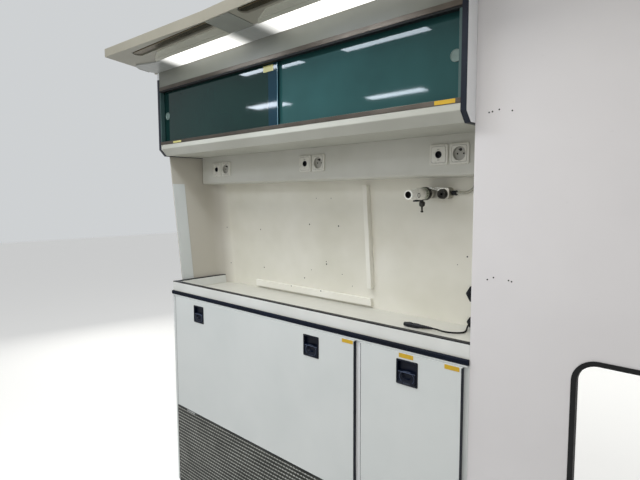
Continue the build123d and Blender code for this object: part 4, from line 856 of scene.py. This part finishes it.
# Lens ends: the last millimetres of the diffuser, scaled up a little and dark, an end trim with painted shade on
# the lens's end faces
lensEnd = dict(thick=2.2, growth=(1.02, 1.035, 1.085))
lensForm = bmesh.new()
lensForm.from_mesh(nodes["lamps"].data)
bmesh.ops.remove_doubles(lensForm, verts=lensForm.verts, dist=1e-5)
lensLow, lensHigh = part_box("lamps")
lensEndShadeForm = bmesh.new()
for side, edgeX in ((-1, lensLow.x), (1, lensHigh.x)):
    sliced = lensForm.copy()
    cut = bmesh.ops.bisect_plane(sliced, geom=sliced.verts[:] + sliced.edges[:] + sliced.faces[:],
                                 plane_co=(edgeX - side * lensEnd["thick"] * mm, 0, 0), plane_no=(side, 0, 0),
                                 clear_inner=True)
    rim = [item for item in cut["geom_cut"] if isinstance(item, bmesh.types.BMEdge)]
    bmesh.ops.contextual_create(sliced, geom=rim)
    middle = Vector((edgeX, (lensLow.y + lensHigh.y) / 2, lensHigh.z))
    bmesh.ops.scale(sliced, vec=lensEnd["growth"], verts=sliced.verts, space=Matrix.Translation(-middle))
    slicedMesh = bpy.data.meshes.new("lensEnd")
    sliced.to_mesh(slicedMesh)
    sliced.free()
    lensEndShadeForm.from_mesh(slicedMesh)
    bpy.data.meshes.remove(slicedMesh)
lensForm.free()
finishPiece(lensEndShadeForm, "lensEndTrimsAndShade", bronzeBar)

# Tread pattern: staggered raised dashes over the kick plate
tread = dict(pitchX=14.0, pitchZ=27.6, long=12.6, wide=6.0, proud=0.9, crest=(0.72, 1, 0.4), sideGap=8,
             topGap=4.0)
plateLow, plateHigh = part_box("kick_plate")
dashMesh = bmesh.new()
made = bmesh.ops.create_cube(dashMesh, size=1)["verts"]
bmesh.ops.scale(dashMesh, vec=Vector((tread["long"], 2 * tread["proud"], tread["wide"])) * mm, verts=made)
bmesh.ops.scale(dashMesh, vec=tread["crest"], verts=[v for v in made if v.co.y < 0])


def repeatCell(form, count, step):
    # Copies all that the form holds, count times in all
    cell = form.verts[:] + form.edges[:] + form.faces[:]
    for turn in range(1, count):
        copy = bmesh.ops.duplicate(form, geom=cell)
        moved = [item for item in copy["geom"] if isinstance(item, bmesh.types.BMVert)]
        bmesh.ops.translate(form, verts=moved, vec=Vector(step) * turn * mm)


repeatCell(dashMesh, 2, (tread["pitchX"] / 2, 0, -tread["pitchZ"] / 2))
repeatCell(dashMesh, int((plateHigh.x - plateLow.x) / mm / tread["pitchX"]), (tread["pitchX"], 0, 0))
repeatCell(dashMesh, int((plateHigh.z - plateLow.z) / mm / tread["pitchZ"]), (0, 0, -tread["pitchZ"]))
firstDash = (plateLow.x + tread["sideGap"] * mm, plateLow.y,
             plateHigh.z - (tread["topGap"] + tread["wide"]) * mm)
bmesh.ops.translate(dashMesh, verts=dashMesh.verts, vec=firstDash)
finishPiece(dashMesh, "treadDashes", treadDash, 20)
print("tread ready")

# Blank yellow labels, on the flaps, the lower rail and the left pane
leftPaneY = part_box("left_glass_pane")[0].y
labels = [
    # name, body, face, left, right, bottom, top in the CAD frame's millimetres
    ("largeFlapLabel", "large_flap", flapFaceY, -53.5, -11.0, 827.5, 838.5, labelVinyl),
    ("smallFlapLabel", "small_flap", flapFaceY, 150.5, 196.0, 826.5, 838.5, labelVinyl),
    ("smallFlapSideLabel", "small_flap", flapFaceY, 288.0, 329.5, 827.0, 838.5, labelVinyl),
    ("railLabel", "cabinet", railFaceY, 266.0, 321.0, 1479.2, 1489.2, labelVinyl),
    ("railEndLabel", "cabinet", railFaceY, -917.0, -858.0, 1479.5, 1486.5, paleLabelVinyl),
    ("paneLabel", "left_glass", leftPaneY, -382.0, -333.0, 1668.0, 1688.0, paleLabelVinyl),
    # A pale strip along the left pane's right edge: painted highlight, not a label
    ("paneEdgeHighlight", "left_glass", leftPaneY, -315.4, -313.0, 1492.0, 1690.0, glassEdgeHighlight),
]
for name, body, face, left, right, bottom, top, finish in labels:
    form = bmesh.new()
    addBlock(form, (left * mm, face - 0.35 * mm, bottom * mm), (right * mm, face + 0.05 * mm, top * mm),
             corner=1.2 * mm, cornerAxis=1, steps=3)
    finishPiece(form, name, finish, body=body)

# Small holes left in the lining and the tall panel, black discs of painted shade, and two dots on the left pane.
# The lining leans back, and its left corner is rounded.
lining = dict(slope=0.083, face=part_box("horizontal_trunking")[1].y, height=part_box("horizontal_trunking")[0].z,
              left=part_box("back_lining")[0].x, wall=4, corner=70)
liningHoles = [
    # x, z and width
    (-991, 1122, 5), (-763, 1121, 5), (-987, 955, 5), (-758, 954, 5.5), (-463, 1154, 5.5), (-312.6, 1153, 6),
    (-385, 1002, 6), (-385, 1012.5, 4), (-510, 934, 5), (199.6, 1078.5, 5), (166.6, 1051, 3),
    (-418, 1256, 3), (-342, 1256, 3), (-307.5, 970, 3), (-467.6, 971.6, 3), (-260.5, 930.5, 3),
]
trunkHoles = [(-580, 893.5, 4), (-412.5, 894, 4.5)]
panelHoles = [(383, 1455), (391, 1456), (407, 1459), (437, 1453),
              (389, 1064.5), (404, 1071), (440, 1068), (447, 1066)]
paneDots = [(-944, 1687), (-884, 1672)]
form = bmesh.new()
for x, z, across in liningHoles:
    y = lining["face"] - lining["slope"] * (z * mm - lining["height"])
    intoCorner = max(0, lining["corner"] - (x - lining["left"] / mm - lining["wall"]))
    y -= (lining["corner"] - math.sqrt(lining["corner"] ** 2 - min(intoCorner, lining["corner"]) ** 2)) * mm
    addRings(form, [(-0.6, across), (0.3, across), (0.5, across - 1.2)], (x * mm, y, z * mm), 4)
for x, z, across in trunkHoles:
    addRings(form, [(-0.6, across), (0.3, across)], (x * mm, trunkingFaceY, z * mm), 4)
for x, z in panelHoles:
    addRings(form, [(-0.2, 3.8), (0.3, 3.8), (0.4, 2.6)], (x * mm, tallFaceY, z * mm), 4)
finishPiece(form, "oldScrewHoles", deepShadow)
form = bmesh.new()
for x, z in paneDots:
    addRings(form, [(-0.1, 5), (0.3, 5), (0.5, 3.6)], (x * mm, leftPaneY, z * mm), 4)
finishPiece(form, "paneDots", blackRubber, body="left_glass")
print("labels and holes ready")

# Floor
floorMesh = bmesh.new()
bmesh.ops.create_grid(floorMesh, x_segments=1, y_segments=1, size=lights["floorSize"] / 2)
floorData = bpy.data.meshes.new("studioFloor")
floorMesh.to_mesh(floorData)
floorMesh.free()
floorFinish, floorTree, floorShader = newMaterial("paleStudioFloor")[:3]
floorGlow = addNode(floorTree, "ShaderNodeMath", {"operation": "MULTIPLY", 1: lights["floorSeen"]},
                    {0: seenShare(floorTree)}).outputs["Value"]
floorTone = colourOf(lights["floorColour"])
fillNode(floorTree, floorShader,
         {"Base Color": floorTone, "Roughness": 0.8, "Emission Color": colourOf("#FFFFFF")},
         {"Emission Strength": floorGlow})
floorData.materials.append(floorFinish)
floorPiece = bpy.data.objects.new("studioFloor", floorData)
scene.collection.objects.link(floorPiece)
